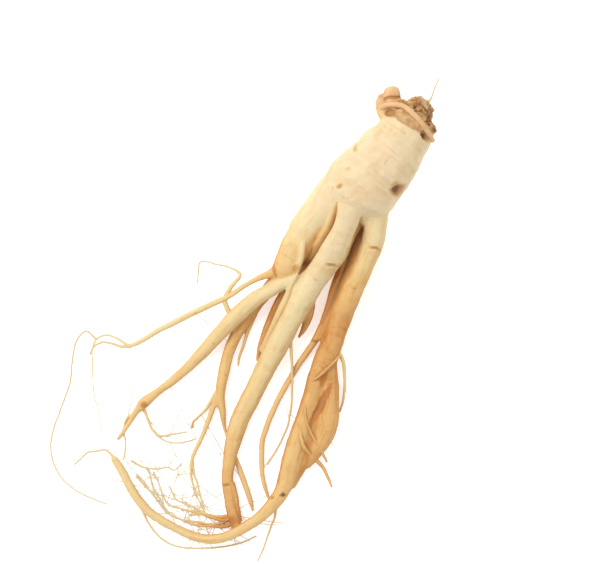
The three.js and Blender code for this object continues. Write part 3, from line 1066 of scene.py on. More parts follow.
def grow(base: bpy.types.Object, tree: bpy.types.NodeTree, sizes: dict[str, object]) -> None:
    """Adds a Geometry Nodes modifier and sets the tree's named inputs.

    Args:
        base: the object that gets the modifier.
        tree: the Geometry Nodes tree.
        sizes: a value for each of the tree's inputs, by name.
    """
    modifier = base.modifiers.new(tree.name, "NODES")
    modifier.node_group = tree
    for item in tree.interface.items_tree:
        if item.item_type == "SOCKET" and item.in_out == "INPUT" and item.name in sizes:
            modifier[item.identifier] = sizes[item.name]


@dataclass
class CentreLines:
    """Lines through the stations of some roots, with what the tubes and the skin read on each point."""

    spacing: float = 0.7 * MM
    cap_rings: int = 4

    def build(self, name: str, roots: Sequence[Root]) -> bpy.types.Object:
        """Makes one mesh of edges, a chain for each root.

        Args:
            name: the object's name.
            roots: the roots to draw.

        Returns:
            The mesh object, with the vector attributes girth (radius, distance along the root, tone),
            core (height of the centre line, flatness, hairs) and the number attribute bud.
        """
        chains = [self._chain(root) for root in roots]
        points = np.concatenate([chain[0] for chain in chains])
        edges, first = [], 0
        for chain in chains:
            last = first + len(chain[0])
            edges += [(at, at + 1) for at in range(first, last - 1)]
            first = last
        mesh = bpy.data.meshes.new(name)
        mesh.from_pydata(points.tolist(), edges, [])
        for index, label in ((1, "girth"), (2, "core")):
            values = np.concatenate([chain[index] for chain in chains]).astype(np.float32)
            mesh.attributes.new(label, "FLOAT_VECTOR", "POINT").data.foreach_set("vector", values.ravel())
        buds = np.concatenate([np.full(len(chain[0]), root.bud) for chain, root in zip(chains, roots)])
        mesh.attributes.new("bud", "FLOAT", "POINT").data.foreach_set("value", buds.astype(np.float32))
        return link_new(name, mesh)

    def _chain(self, root: Root) -> tuple[np.ndarray, np.ndarray, np.ndarray]:
        """Draws one root, with a round cap at each end.

        Args:
            root: the root.

        Returns:
            Points, girth and core along it.
        """
        stations = np.array(root.stations, float) * MM
        line = self._smooth_line(stations)
        line = np.concatenate([self._cap(line[0], line[1]), line, self._cap(line[-1], line[-2])[::-1]])
        steps = np.linalg.norm(np.diff(line[:, :3], axis=0), axis=1)
        along = np.concatenate([[0.0], np.cumsum(steps)])
        share = along / along[-1]
        tones, hairs = (
            np.interp(share, np.linspace(0, 1, len(row)), row) for row in (root.tones, root.hairs)
        )
        girth = np.stack([line[:, 3], along, tones], axis=1)
        core = np.stack([line[:, 2], np.full(len(line), root.flatness), hairs], axis=1)
        return line[:, :3], girth, core

    def _smooth_line(self, stations: np.ndarray) -> np.ndarray:
        """Runs a centripetal Catmull-Rom curve through some stations, with radii eased between them.

        Args:
            stations: places and radii, in metres.

        Returns:
            The curve's points, each with its radius.
        """
        ends = (2 * stations[:1] - stations[1:2], 2 * stations[-1:] - stations[-2:-1])
        padded = np.concatenate([ends[0], stations, ends[1]])
        padded[0, 3], padded[-1, 3] = stations[0, 3], stations[-1, 3]
        spans = []
        for at in range(1, len(padded) - 2):
            p0, p1, p2, p3 = padded[at - 1 : at + 3]
            gaps = [max(np.linalg.norm((b - a)[:3]), 1e-9) ** 0.5 for a, b in ((p0, p1), (p1, p2), (p2, p3))]
            leave = ((p1 - p0) / gaps[0] - (p2 - p0) / (gaps[0] + gaps[1]) + (p2 - p1) / gaps[1]) * gaps[1]
            arrive = ((p2 - p1) / gaps[1] - (p3 - p1) / (gaps[1] + gaps[2]) + (p3 - p2) / gaps[2]) * gaps[1]
            leave[3], arrive[3] = (p2[3] - p0[3]) / 2, (p3[3] - p1[3]) / 2
            count = max(2, round(np.linalg.norm((p2 - p1)[:3]) / self.spacing))
            u = np.linspace(0, 1, count, endpoint=False)[:, None]
            spans.append(
                (2 * u**3 - 3 * u**2 + 1) * p1
                + (u**3 - 2 * u**2 + u) * leave
                + (3 * u**2 - 2 * u**3) * p2
                + (u**3 - u**2) * arrive
            )
        return np.concatenate([*spans, stations[-1:]])

    def _cap(self, end: np.ndarray, inner: np.ndarray) -> np.ndarray:
        """Rounds off an end.

        Args:
            end: the last station.
            inner: the one before it.

        Returns:
            Points from the outermost to the last but one, each with its radius.
        """
        outwards = (end - inner)[:3] / np.linalg.norm((end - inner)[:3])
        turns = np.linspace(math.radians(88), 0, self.cap_rings, endpoint=False)
        places = end[:3] + outwards * (CAP_LENGTH * end[3] * np.sin(turns))[:, None]
        return np.concatenate([places, (end[3] * np.cos(turns))[:, None]], axis=1)


def store_flank_shade(shape: Shape, skin: Term) -> Term:
    """Stores how far the skin faces sideways or down, the mask of the painted shade that turns the sides and
    underside darker orange.
    """
    up = shape.split(shape.normal())[2]
    return shape.store(skin, "flank", shape.step(up, 0.85, -0.1))


def tube_tree(sizes: dict[str, object]) -> bpy.types.NodeTree:
    """Geometry Nodes that sweep a ring along centre lines.

    Args:
        sizes: Sides, Stray, Stray size, Knots and Material.

    Returns:
        The tree. Its tubes carry girth, core, bud and ring, the place on a unit circle round the
        centre line.
    """
    shape = Shape("root_tubes", sizes)
    line = shape.given("Geometry")
    drift = shape.noise_vector(shape.position() * (1.0 / shape.given("Stray size")), 1.0, 2.0)
    line = shape.place(line, offset=drift * shape.given("Stray"))
    line = shape.store(line, "core_height", shape.split(shape.position())[2])
    line = shape.store(line, "crown", shape.named("bud"))
    radius, along, tone = shape.split(shape.named("girth", Kind.VECTOR))
    bulges = shape.noise(shape.position() * (1.0 / shape.given("Stray size")), 1.7, 3.0)
    knot = bulges * shape.given("Knots") + 1.0
    line = shape.store(line, "girth", shape.combine(radius * knot, along, tone), Kind.VECTOR)
    curve = shape.out(shape.node("GeometryNodeMeshToCurve", None, {"Mesh": line}))
    tube = shape.sweep(curve, shape.given("Sides"))
    x, y, z = shape.split(shape.position())
    height = shape.named("core_height")
    flatness = shape.split(shape.named("core", Kind.VECTOR))[1]
    level = shape.maths("MAXIMUM", height + (z - height) * flatness, 0.0)
    tube = shape.place(tube, position=shape.combine(x, y, level))
    return shape.finish(shape.smooth(store_flank_shade(shape, tube)))


# ---------------------------------------------------------------------------------------------------
# The fused skin and its relief
# ---------------------------------------------------------------------------------------------------


@dataclass
class FusedSkin:
    """The thick roots fused into one skin, with the relief that drying gives it."""

    voxel: float = 0.33 * MM
    most_triangles: int = 196_000
    tube_sides: int = 40
    stray: float = 0.9 * MM  # how far a centre line wanders
    stray_size: float = 12 * MM
    knots: float = 0.16  # how far the thickness varies, as a share
    fillet_passes: int = 16
    fillet_radii: tuple[float, float] = (1.2 * MM, 4.2 * MM)  # forks of roots this thick are rounded off
    crown_foot: tuple[float, float] = (11.0 * MM, 18.6 * MM)  # where the crown begins, seen from above
    crown_way: tuple[float, float] = (0.482, 0.877)  # which way it points
    crown_edge: tuple[float, float] = (-0.4 * MM, 0.7 * MM)  # how far past its foot its rim begins
    scab_edge: tuple[float, float] = (3.4 * MM, 4.8 * MM)  # and its scabs do
    ragged_scale: float = 210.0  # in waves to a metre, as the other scales are
    ragged_reach: float = 3.4 * MM
    waver_scale: float = 420.0  # the outlines of the marks waver
    waver_reach: float = 1.6 * MM
    lump_size: float = 9 * MM
    lump_depth: float = 0.15
    ring_spacing: float = 2.4 * MM
    ring_depth: float = 0.03
    furrow_depth: float = 0.1
    lenticel_spacing: float = 5.5 * MM
    lenticel_depth: float = 0.22 * MM
    lenticel_stain: float = 0.24
    patch_scale: float = 130.0  # the sharp rings come in patches
    furrow_scale: float = 70.0
    groove_depth: float = 1.5
    # painted shade in the grooves between the legs: how dark it makes them and how far it warms the bark
    # beside them
    groove_shade: float = 0.85
    groove_warm_shade: float = 0.9
    plate_size: float = 4.4 * MM
    plate_depth: float = 1.0 * MM
    warp_scale: float = 280.0  # the outlines of the plates are warped
    warp_reach: float = 5.0 * MM
    grit_scale: float = 800.0
    wrinkle_scale: float = 330.0
    wrinkle_depth: float = 0.5 * MM
    shade_scale: float = 240.0

    def build(self, roots: Sequence[Root], material: bpy.types.Material) -> bpy.types.Object:
        """Fuses the roots and gives them their relief.

        Args:
            roots: the roots that are thick enough for the voxel.
            material: the finish of the skin.

        Returns:
            The skin as a plain mesh.
        """
        lines = CentreLines().build("thick_lines", roots)
        sizes = {
            "Sides": self.tube_sides,
            "Stray": self.stray,
            "Stray size": self.stray_size,
            "Knots": self.knots,
            "Material": material,
        }
        grow(lines, tube_tree(sizes), sizes)
        tubes = evaluated_mesh(lines, "thick_tubes")
        grooves = CentreLines().build("groove_lines", GROOVES)
        skin = link_new("skin_maker", tubes.data.copy())
        remesh = skin.modifiers.new("fuse", "REMESH")
        remesh.mode = "VOXEL"
        remesh.voxel_size = self.voxel
        remesh.use_smooth_shade = True
        sizes = {**self._sizes(), "Tubes": tubes, "Grooves": grooves, "Material": material}
        grow(skin, self.relief_tree(sizes), sizes)
        fine = evaluated_mesh(skin, "fine_skin")
        bpy.data.objects.remove(tubes)
        bpy.data.objects.remove(grooves)
        triangles = sum(len(face.vertices) - 2 for face in fine.data.polygons)
        LOG.info("skin before thinning: %d triangles", triangles)
        thin = fine.modifiers.new("thin_out", "DECIMATE")
        thin.ratio = min(1.0, self.most_triangles / triangles)
        return evaluated_mesh(fine, "ginseng_skin")

    def _sizes(self) -> dict[str, float]:
        """Names the relief tree's number inputs.

        Returns:
            A size for each input, by name.
        """
        return {
            "Lump size": self.lump_size,
            "Lump depth": self.lump_depth,
            "Ring spacing": self.ring_spacing,
            "Ring depth": self.ring_depth,
            "Furrow depth": self.furrow_depth,
            "Lenticel spacing": self.lenticel_spacing,
            "Lenticel depth": self.lenticel_depth,
            "Groove depth": self.groove_depth,
            "Plate size": self.plate_size,
            "Plate depth": self.plate_depth,
            "Wrinkle depth": self.wrinkle_depth,
        }

    def relief_tree(self, sizes: dict[str, object]) -> bpy.types.NodeTree:
        """Geometry Nodes that round off the forks, press in the relief and flatten the underside.

        Args:
            sizes: what _sizes names, with Tubes, Grooves and Material.

        Returns:
            The tree.
        """
        shape = Shape("dried_skin", sizes)
        skin = self._carry(shape, shape.given("Geometry"), shape.object_geometry("Tubes"))
        skin = self._round_forks(shape, skin)
        skin = self._crown_masks(shape, skin)
        grooves = self._grooves(shape, shape.object_geometry("Grooves"))
        marks = self._marks(shape)
        bark, lenticels = self._bark(shape)
        scabs, plate = self._scabs(shape)
        radius = shape.split(shape.named("girth", Kind.VECTOR))[0]
        spot = shape.position() * (1.0 / shape.given("Lump size"))
        lumps = (shape.noise(spot, 1.0, 2.0) + shape.noise(spot, 2.6, 2.0) * 0.35) * radius
        crust = bark + scabs - marks[0]
        skin = shape.store(skin, "hollow", crust * (1.0 / MM))
        skin = shape.store(skin, "plate", plate)
        # stain and warmth hold the marks' stains and warm spots, the lenticels, and the painted shade of the
        # grooves and of a few marks
        stain = shape.maths("MAXIMUM", marks[1], lenticels * self.lenticel_stain)
        stain = shape.maths("MAXIMUM", stain, grooves[1])
        skin = shape.store(skin, "stain", stain)
        skin = shape.store(skin, "warmth", shape.maths("MAXIMUM", marks[2], grooves[2]))
        height = lumps * shape.given("Lump depth") + crust - grooves[0]
        skin = shape.place(skin, offset=shape.normal() * height)
        x, y, z = shape.split(shape.position())
        skin = shape.place(skin, position=shape.combine(x, y, shape.maths("MAXIMUM", z, 0.0)))
        return shape.finish(shape.smooth(store_flank_shade(shape, skin)))

    @staticmethod
    def _carry(shape: Shape, skin: Term, tubes: Term) -> Term:
        """Gives the skin what the tubes nearest to it say.

        Args:
            shape: the tree.
            skin: the fused skin.
            tubes: the tubes that it was fused from.

        Returns:
            The skin with girth, ring and bud.
        """
        carried = (("girth", 6, Kind.VECTOR), ("ring", 3, Kind.VECTOR), ("bud", 5, Kind.NUMBER))
        for label, passes, kind in carried:
            inputs = {"Mesh": tubes, "Value": shape.named(label, kind)}
            settings = {"data_type": kind.value}
            near = shape.out(shape.node("GeometryNodeSampleNearestSurface", settings, inputs))
            skin = shape.store(skin, label, shape.blur(near, passes, kind=kind), kind)
        return skin

    def _round_forks(self, shape: Shape, skin: Term) -> Term:
        """Rounds off the forks of thick roots, and stores how deep in a crease each point lies, the mask of
        the painted crease shade.

        Args:
            shape: the tree.
            skin: the fused skin.

        Returns:
            The skin with crease.
        """
        radius = shape.split(shape.named("girth", Kind.VECTOR))[0]
        weight = 0.12 + 0.8 * shape.step(radius, *self.fillet_radii)
        rounded = shape.blur(shape.position(), self.fillet_passes, weight, Kind.VECTOR)
        skin = shape.place(skin, position=rounded)
        wide = shape.blur(shape.position(), 16, 1.0, Kind.VECTOR)
        crease = shape.vector_maths("DOT_PRODUCT", wide - shape.position(), shape.normal())
        return shape.store(skin, "crease", shape.blur(crease, 2))

    def _crown_masks(self, shape: Shape, skin: Term) -> Term:
        """Stores where the crown begins, past a ragged line, and where its scabs do.

        Args:
            shape: the tree.
            skin: the fused skin.

        Returns:
            The skin with crown and scab.
        """
        x, y, _ = shape.split(shape.position())
        ragged = shape.noise(shape.position(), self.ragged_scale, 3.0) * self.ragged_reach
        foot, way = self.crown_foot, self.crown_way
        past = (x - foot[0]) * way[0] + (y - foot[1]) * way[1] + ragged
        plain = 1.0 - shape.named("bud")
        skin = shape.store(skin, "crown", shape.step(past, *self.crown_edge))
        return shape.store(skin, "scab", shape.step(past, *self.scab_edge) * plain)

    def _grooves(self, shape: Shape, lines: Term) -> tuple[Term, Term, Term]:
        """Measures the grooves between the legs.

        Args:
            shape: the tree.
            lines: the grooves' centre lines, on the floor.

        Returns:
            How deep they cut, how dark they are and how much they warm the bark.
        """
        x, y, _ = shape.split(shape.position())
        below = shape.combine(x, y, 0.0)
        near = {"Geometry": lines, "Sample Position": below}
        index = shape.out(shape.node("GeometryNodeSampleNearest", {"domain": "POINT"}, near))
        inputs = {"Geometry": lines, "Value": shape.named("girth", Kind.VECTOR), "Index": index}
        sampled = shape.node("GeometryNodeSampleIndex", {"data_type": Kind.VECTOR.value}, inputs)
        width, _, strength = shape.split(shape.out(sampled))
        settings = {"target_element": "EDGES"}
        proximity = shape.node("GeometryNodeProximity", settings, {0: lines, "Sample Position": below})
        away = shape.out(proximity, "Distance") / width
        facing = shape.step(shape.split(shape.normal())[2], 0.0, 0.4)
        cut = shape.step(away, 1.3, 0.0) * facing * strength
        # painted shade: the grooves darken and the bark beside them warms
        stain = shape.step(away, 1.1, 0.1) * strength * self.groove_shade
        warmth = shape.step(away, 2.2, 0.6) * strength * self.groove_warm_shade
        return cut * width * shape.given("Groove depth"), stain, warmth

    def _marks(self, shape: Shape) -> tuple[Term, Term, Term]:
        """Measures the scars, pits, spots and holes, and the marks of painted shade.

        Args:
            shape: the tree.

        Returns:
            How deep they sink the skin, how dark they make it and how much they warm its colour: stains for
            most marks, painted shade for a few.
        """
        waver = shape.noise_vector(shape.position(), self.waver_scale, 2.0) * self.waver_reach
        x, y, _ = shape.split(shape.position() + waver)
        facing = shape.step(shape.split(shape.normal())[2], 0.0, 0.35)
        depth: object = 0.0
        stain: object = 0.0
        warmth: object = 0.0
        for mark in MARKS:
            cosine, sine = math.cos(math.radians(mark.turn)), math.sin(math.radians(mark.turn))
            dx, dy = x - mark.x * MM, y - mark.y * MM
            u = (dx * cosine + dy * sine) * (2 / (mark.length * MM))
            v = (dy * cosine - dx * sine) * (2 / (mark.width * MM))
            away = shape.vector_maths("LENGTH", shape.combine(u, v, 0.0))
            inside = shape.step(away, 1.45, 0.3) * facing
            depth = inside * (mark.depth * MM) + depth
            stain = shape.maths("MAXIMUM", inside * mark.stain, stain)
            warmth = shape.maths("MAXIMUM", inside * mark.warmth, warmth)
        return depth, stain, warmth

    def _bark(self, shape: Shape) -> tuple[Term, Term]:
        """The relief of the bark: rings, furrows and lenticels.

        Args:
            shape: the tree.

        Returns:
            The relief's height and a mask of the lenticels.
        """
        radius, along, _ = shape.split(shape.named("girth", Kind.VECTOR))
        around_x, around_y, _ = shape.split(shape.named("ring", Kind.VECTOR))
        bark = 1.0 - shape.named("crown")
        ring_place = shape.combine(around_x * 0.7, around_y * 0.7, along / shape.given("Ring spacing"))
        soft_rings = shape.noise(ring_place, 0.8, 3.0, 0.6)
        edge = shape.maths("ABSOLUTE", shape.noise(ring_place, 0.55, 2.0, 0.5))
        patches = shape.step(shape.noise(shape.position(), self.patch_scale), -0.05, 0.12)
        sharp_rings = shape.step(edge, 0.07, 0.0) * patches
        rings = (soft_rings - sharp_rings * 0.5) * (radius * shape.given("Ring depth") + 0.1 * MM)
        furrow_place = shape.combine(around_x * 1.7, around_y * 1.7, along * self.furrow_scale)
        slender = shape.step(radius, 9.0 * MM, 3.0 * MM) * 0.85 + 0.15
        furrows = shape.noise(furrow_place, 1.0, 3.0, 0.55) * radius * shape.given("Furrow depth") * slender
        spread = radius / shape.given("Lenticel spacing")
        down = along * 2.2 / shape.given("Lenticel spacing")
        distance, chance = shape.cells(shape.combine(around_x * spread, around_y * spread, down), 1.0)
        lenticels = shape.step(distance, 0.2, 0.08) * shape.step(chance, 0.66, 0.7) * bark
        pits = lenticels * shape.given("Lenticel depth")
        return (rings + furrows) * bark - pits, lenticels

    def _scabs(self, shape: Shape) -> tuple[Term, Term]:
        """The relief of the crown, wrinkled at its rim and scabbed beyond.

        Args:
            shape: the tree.

        Returns:
            The relief's height and each plate's own number.
        """
        spot = shape.position()
        bent = spot + shape.noise_vector(spot, self.warp_scale, 3.0) * self.warp_reach
        plate_place = bent * (1.0 / shape.given("Plate size"))
        _, plate = shape.cells(plate_place, 1.0)
        crack = shape.step(shape.cracks(plate_place, 1.0), 0.16, 0.0)
        chip_distance, chip = shape.cells(plate_place, 2.2)
        grit = shape.noise(spot, self.grit_scale, 4.0, 0.65)
        crust = (plate - 0.5) * 1.0 + (chip - 0.5) * 0.3 - chip_distance * 0.3 - crack * 0.6 + grit * 0.3
        rough = shape.noise(spot, self.wrinkle_scale, 3.0, 0.6)
        wrinkles = rough * shape.named("crown") * shape.given("Wrinkle depth")
        scabs = crust * shape.blur(shape.named("scab"), 2) * shape.given("Plate depth")
        shade = plate * 0.5 + chip * 0.15 + shape.noise(spot, self.shade_scale, 3.0) * 0.5 + 0.18
        return scabs + wrinkles, shade


# ---------------------------------------------------------------------------------------------------
# Thin roots, flakes and fine hairs
# ---------------------------------------------------------------------------------------------------


@dataclass
class ThinRoots:
    """Roots too thin for the fused skin, as tubes of their own."""

    name: str
    roots: tuple[Root, ...]
    stray: float = 0.5 * MM  # how far a centre line wanders
    stray_size: float = 4 * MM
    knots: float = 0.35
    spacing: float = 0.5 * MM
    sides: int = 10

    def build(self, material: bpy.types.Material) -> bpy.types.Object:
        """Makes the tubes.

        Args:
            material: the finish.

        Returns:
            The tubes as a plain mesh.
        """
        lines = CentreLines(spacing=self.spacing).build(self.name + "_lines", self.roots)
        sizes = {
            "Sides": self.sides,
            "Stray": self.stray,
            "Stray size": self.stray_size,
            "Knots": self.knots,
            "Material": material,
        }
        grow(lines, tube_tree(sizes), sizes)
        return evaluated_mesh(lines, self.name)


@dataclass
class CrownFlakes:
    """Small dry flakes that stand off the scabs of the crown."""

    density: float = 150_000.0  # flakes to a square metre of scab
    smallest: float = 0.6 * MM
    largest: float = 1.5 * MM
    tilt: float = 0.5
    width: float = 0.7  # as a share of a flake's length
    thickness: float = 0.16
    cupping: float = 0.22
    unevenness: float = 0.9
    seed: int = 11

    def build(self, skin: bpy.types.Object, material: bpy.types.Material) -> bpy.types.Object:
        """Scatters the flakes over the skin's scabs.

        Args:
            skin: the fused skin, with its attribute scab.
            material: the finish.

        Returns:
            The flakes as a plain mesh.
        """
        maker = link_new("flake_maker", skin.data)
        sizes = {
            "Density": self.density,
            "Smallest": self.smallest,
            "Largest": self.largest,
            "Tilt": self.tilt,
            "Seed": self.seed,
            "Material": material,
        }
        grow(maker, self._tree(sizes), sizes)
        return evaluated_mesh(maker, "crown_flakes")

    def _tree(self, sizes: dict[str, object]) -> bpy.types.NodeTree:
        """Geometry Nodes that put an uneven chip on random points of the scabs.

        Args:
            sizes: Density, Smallest, Largest, Tilt, Seed and Material.

        Returns:
            The tree.
        """
        shape = Shape("crown_flakes", sizes)
        smallest, tilt, seed = (shape.given(name) for name in ("Smallest", "Tilt", "Seed"))
        density = shape.named("scab") * shape.given("Density")
        spread = {"Mesh": shape.given("Geometry"), "Density": density, "Seed": seed}
        points = shape.node("GeometryNodeDistributePointsOnFaces", None, spread)
        chip = self._chip(shape)
        size = shape.random(0.0, 1.0, seed) ** 2 * (shape.given("Largest") - smallest) + smallest
        inputs = {
            "Points": shape.out(points, "Points"),
            "Instance": chip,
            "Rotation": shape.out(points, "Rotation"),
            "Scale": shape.combine(size, size, size),
        }
        flakes = shape.out(shape.node("GeometryNodeInstanceOnPoints", None, inputs))
        turns = shape.random((-1.0, -1.0, -math.pi), (1.0, 1.0, math.pi), seed + 1)
        turn_x, turn_y, turn_z = shape.split(turns)
        euler = {"Euler": shape.combine(turn_x * tilt, turn_y * tilt, turn_z)}
        turned = shape.out(shape.node("FunctionNodeEulerToRotation", None, euler))
        flakes = shape.out(
            shape.node("GeometryNodeRotateInstances", None, {"Instances": flakes, "Rotation": turned})
        )
        flakes = shape.store(flakes, "plate", shape.random(0.0, 1.0, seed + 2), domain=Domain.INSTANCE)
        for label in ("crown", "scab"):
            flakes = shape.store(flakes, label, 1.0, domain=Domain.INSTANCE)
        return shape.finish(flakes)

    def _chip(self, shape: Shape) -> Term:
        """Makes one flake: a flattened, cupped and uneven ball of a few dozen faces.

        Args:
            shape: the tree.

        Returns:
            The flake, about 1 m in radius.
        """
        ball = shape.out(shape.node("GeometryNodeMeshIcoSphere", None, {"Radius": 1.0, "Subdivisions": 2}))
        uneven = shape.position() * (1.0 + shape.noise(shape.position(), 1.3, 2.0) * self.unevenness)
        x, y, z = shape.split(uneven)
        height = z * self.thickness + x * x * self.cupping
        return shape.place(ball, position=shape.combine(x, y * self.width, height))


@dataclass
class FineHairs:
    """Hairs finer than a rootlet, which grow where the roots say and settle on the surface."""

    spacing: float = 2.2 * MM
    shortest: float = 7 * MM
    longest: float = 30 * MM
    radius: float = 0.17 * MM
    curl: float = 3.6 * MM
    bend_scale: float = 45.0  # wide bends, in waves to a metre
    kink_scale: float = 190.0  # and small kinks
    sides: int = 5
    steps: int = 18
    seed: int = 5

    def build(self, roots: Sequence[Root], material: bpy.types.Material) -> bpy.types.Object:
        """Grows the hairs from the centre lines of some roots.

        Args:
            roots: the roots, whose hairs say how densely.
            material: the finish.

        Returns:
            The hairs as a plain mesh.
        """
        hairy = [root for root in roots if any(root.hairs)]
        lines = CentreLines(spacing=self.spacing).build("hair_lines", hairy)
        inset = Vector((1.0, 1.0, 1.0)) * self.radius * 2
        sizes = {
            "Spacing": self.spacing,
            "Shortest": self.shortest,
            "Longest": self.longest,
            "Radius": self.radius,
            "Curl": self.curl,
            "Sides": self.sides,
            "Steps": self.steps,
            "Seed": self.seed,
            "Low corner": tuple(Vector(CAD_BOX[0]) + inset),
            "High corner": tuple(Vector(CAD_BOX[1]) - inset),
            "Material": material,
        }
        grow(lines, self._tree(sizes), sizes)
        return evaluated_mesh(lines, "fine_hairs")

    def _tree(self, sizes: dict[str, object]) -> bpy.types.NodeTree:
        """Geometry Nodes that grow a curling hair from random points of the lines.

        Args:
            sizes: what build names: a size for each input.

        Returns:
            The tree.
        """
        shape = Shape("fine_hairs", sizes)
        strands = self._curl_strands(shape, self._plant_strands(shape))
        return shape.finish(shape.smooth(shape.sweep(strands, shape.given("Sides"))))

    @staticmethod
    def _plant_strands(shape: Shape) -> Term:
        """Plants straight level strands on random points of the lines.

        Args:
            shape: the tree.

        Returns:
            The strands as curves, with the attribute own, three random numbers for each strand.
        """
        shortest, longest, seed = (shape.given(name) for name in ("Shortest", "Longest", "Seed"))
        hosts = shape.node("GeometryNodeMeshToCurve", None, {"Mesh": shape.given("Geometry")})
        spread = {"Curve": shape.out(hosts), "Length": shape.given("Spacing")}
        points = shape.out(shape.node("GeometryNodeCurveToPoints", {"mode": "LENGTH"}, spread), "Points")
        hairs = shape.split(shape.named("core", Kind.VECTOR))[2]
        grows = shape.maths("LESS_THAN", shape.random(0.0, 1.0, seed), hairs)
        straight = {"Start": (0.0, 0.0, 0.0), "End": (1.0, 0.0, 0.0)}
        line = shape.out(shape.node("GeometryNodeCurvePrimitiveLine", {"mode": "POINTS"}, straight))
        steps = {"Curve": line, "Count": shape.given("Steps")}
        line = shape.out(shape.node("GeometryNodeResampleCurve", None, steps))
        length = shape.random(0.0, 1.0, seed + 1) ** 1.3 * (longest - shortest) + shortest
        yaw = shape.random(-math.pi, math.pi, seed + 2)
        turned = shape.node("FunctionNodeEulerToRotation", None, {"Euler": shape.combine(0.0, 0.0, yaw)})
        inputs = {
            "Points": points,
            "Selection": grows,
            "Instance": line,
            "Rotation": shape.out(turned),
            "Scale": shape.combine(length, length, 1.0),
        }
        strands = shape.out(shape.node("GeometryNodeInstanceOnPoints", None, inputs))
        own = shape.random((0.0, 0.0, 0.0), (1.0, 1.0, 1.0), seed + 3)
        strands = shape.store(strands, "own", own, Kind.VECTOR, Domain.INSTANCE)
        return shape.out(shape.node("GeometryNodeRealizeInstances", None, {"Geometry": strands}))

    def _curl_strands(self, shape: Shape, strands: Term) -> Term:
        """Bends and kinks the strands, and lets them sink from their root's height to the surface.

        Args:
            shape: the tree.
            strands: straight level strands.

        Returns:
            The strands with their girth.
        """
        thickness, curl = shape.given("Radius"), shape.given("Curl")
        height = shape.split(shape.named("core", Kind.VECTOR))[0]
        own = shape.named("own", Kind.VECTOR)
        share = shape.out(shape.node("GeometryNodeSplineParameter"), "Factor")
        bend = shape.noise_vector(shape.position() * self.bend_scale + own * 40.0, 1.0) * curl * 3.0
        kinks = shape.noise_vector(shape.position() * self.kink_scale + own * 90.0, 1.0, 2.0) * curl
        moved = shape.position() + (bend + kinks) * shape.step(share, 0.0, 1.4)
        x, y, lift = shape.split(moved)
        above = shape.maths("MAXIMUM", lift - height, 0.0)
        z = height * (1.0 - share) ** 1.7 + above * 0.8 + thickness
        held = shape.vector_maths("MAXIMUM", shape.combine(x, y, z), shape.given("Low corner"))
        held = shape.vector_maths("MINIMUM", held, shape.given("High corner"))
        strands = shape.place(strands, position=held)
        own_x, own_y, _ = shape.split(own)
        radius = thickness * (1.0 - share * 0.55) * (0.65 + own_x * 0.6)
        girth = shape.combine(radius, share * shape.given("Longest"), own_y * 0.3)
        return shape.store(strands, "girth", girth, Kind.VECTOR)


# ---------------------------------------------------------------------------------------------------
# Finishes
# ---------------------------------------------------------------------------------------------------


class Paint(Graph):
    """A material's shader tree with one Principled BSDF."""

    def __init__(self, name: str, settings: dict[str, object]) -> None:
        """Makes the material and its shader, with constants on the shader's own sockets.

        Args:
            name: the material's name.
            settings: the constants, by socket.
        """
        self.material = bpy.data.materials.new(name)
        self.material.use_nodes = True
        super().__init__(self.material.node_tree)
        self.shader = self.node("ShaderNodeBsdfPrincipled", None, settings)
        output = self.node("ShaderNodeOutputMaterial")
        self.tree.links.new(self.shader.outputs[0], output.inputs["Surface"])

    def place(self) -> Term:
        """Object coordinates."""
        return self.out(self.node("ShaderNodeTexCoord"), "Object")

    def number(self, name: str) -> Term:
        """A number attribute of the piece."""
        return self.out(self.node("ShaderNodeAttribute", {"attribute_name": name}), "Fac")

    def vector(self, name: str) -> Term:
        """A vector attribute of the piece."""
        return self.out(self.node("ShaderNodeAttribute", {"attribute_name": name}), "Vector")

    def feed(self, socket: str, value: Term) -> None:
        """Links a Term to one of the shader's sockets."""
        self.tree.links.new(value.socket, self.shader.inputs[socket])

    def bump(self, height: Term, distance: float, strength: float) -> None:
        """Feeds the shader's normal from a height."""
        inputs = {"Height": height, "Distance": distance, "Strength": strength}
        self.feed("Normal", self.out(self.node("ShaderNodeBump", None, inputs)))


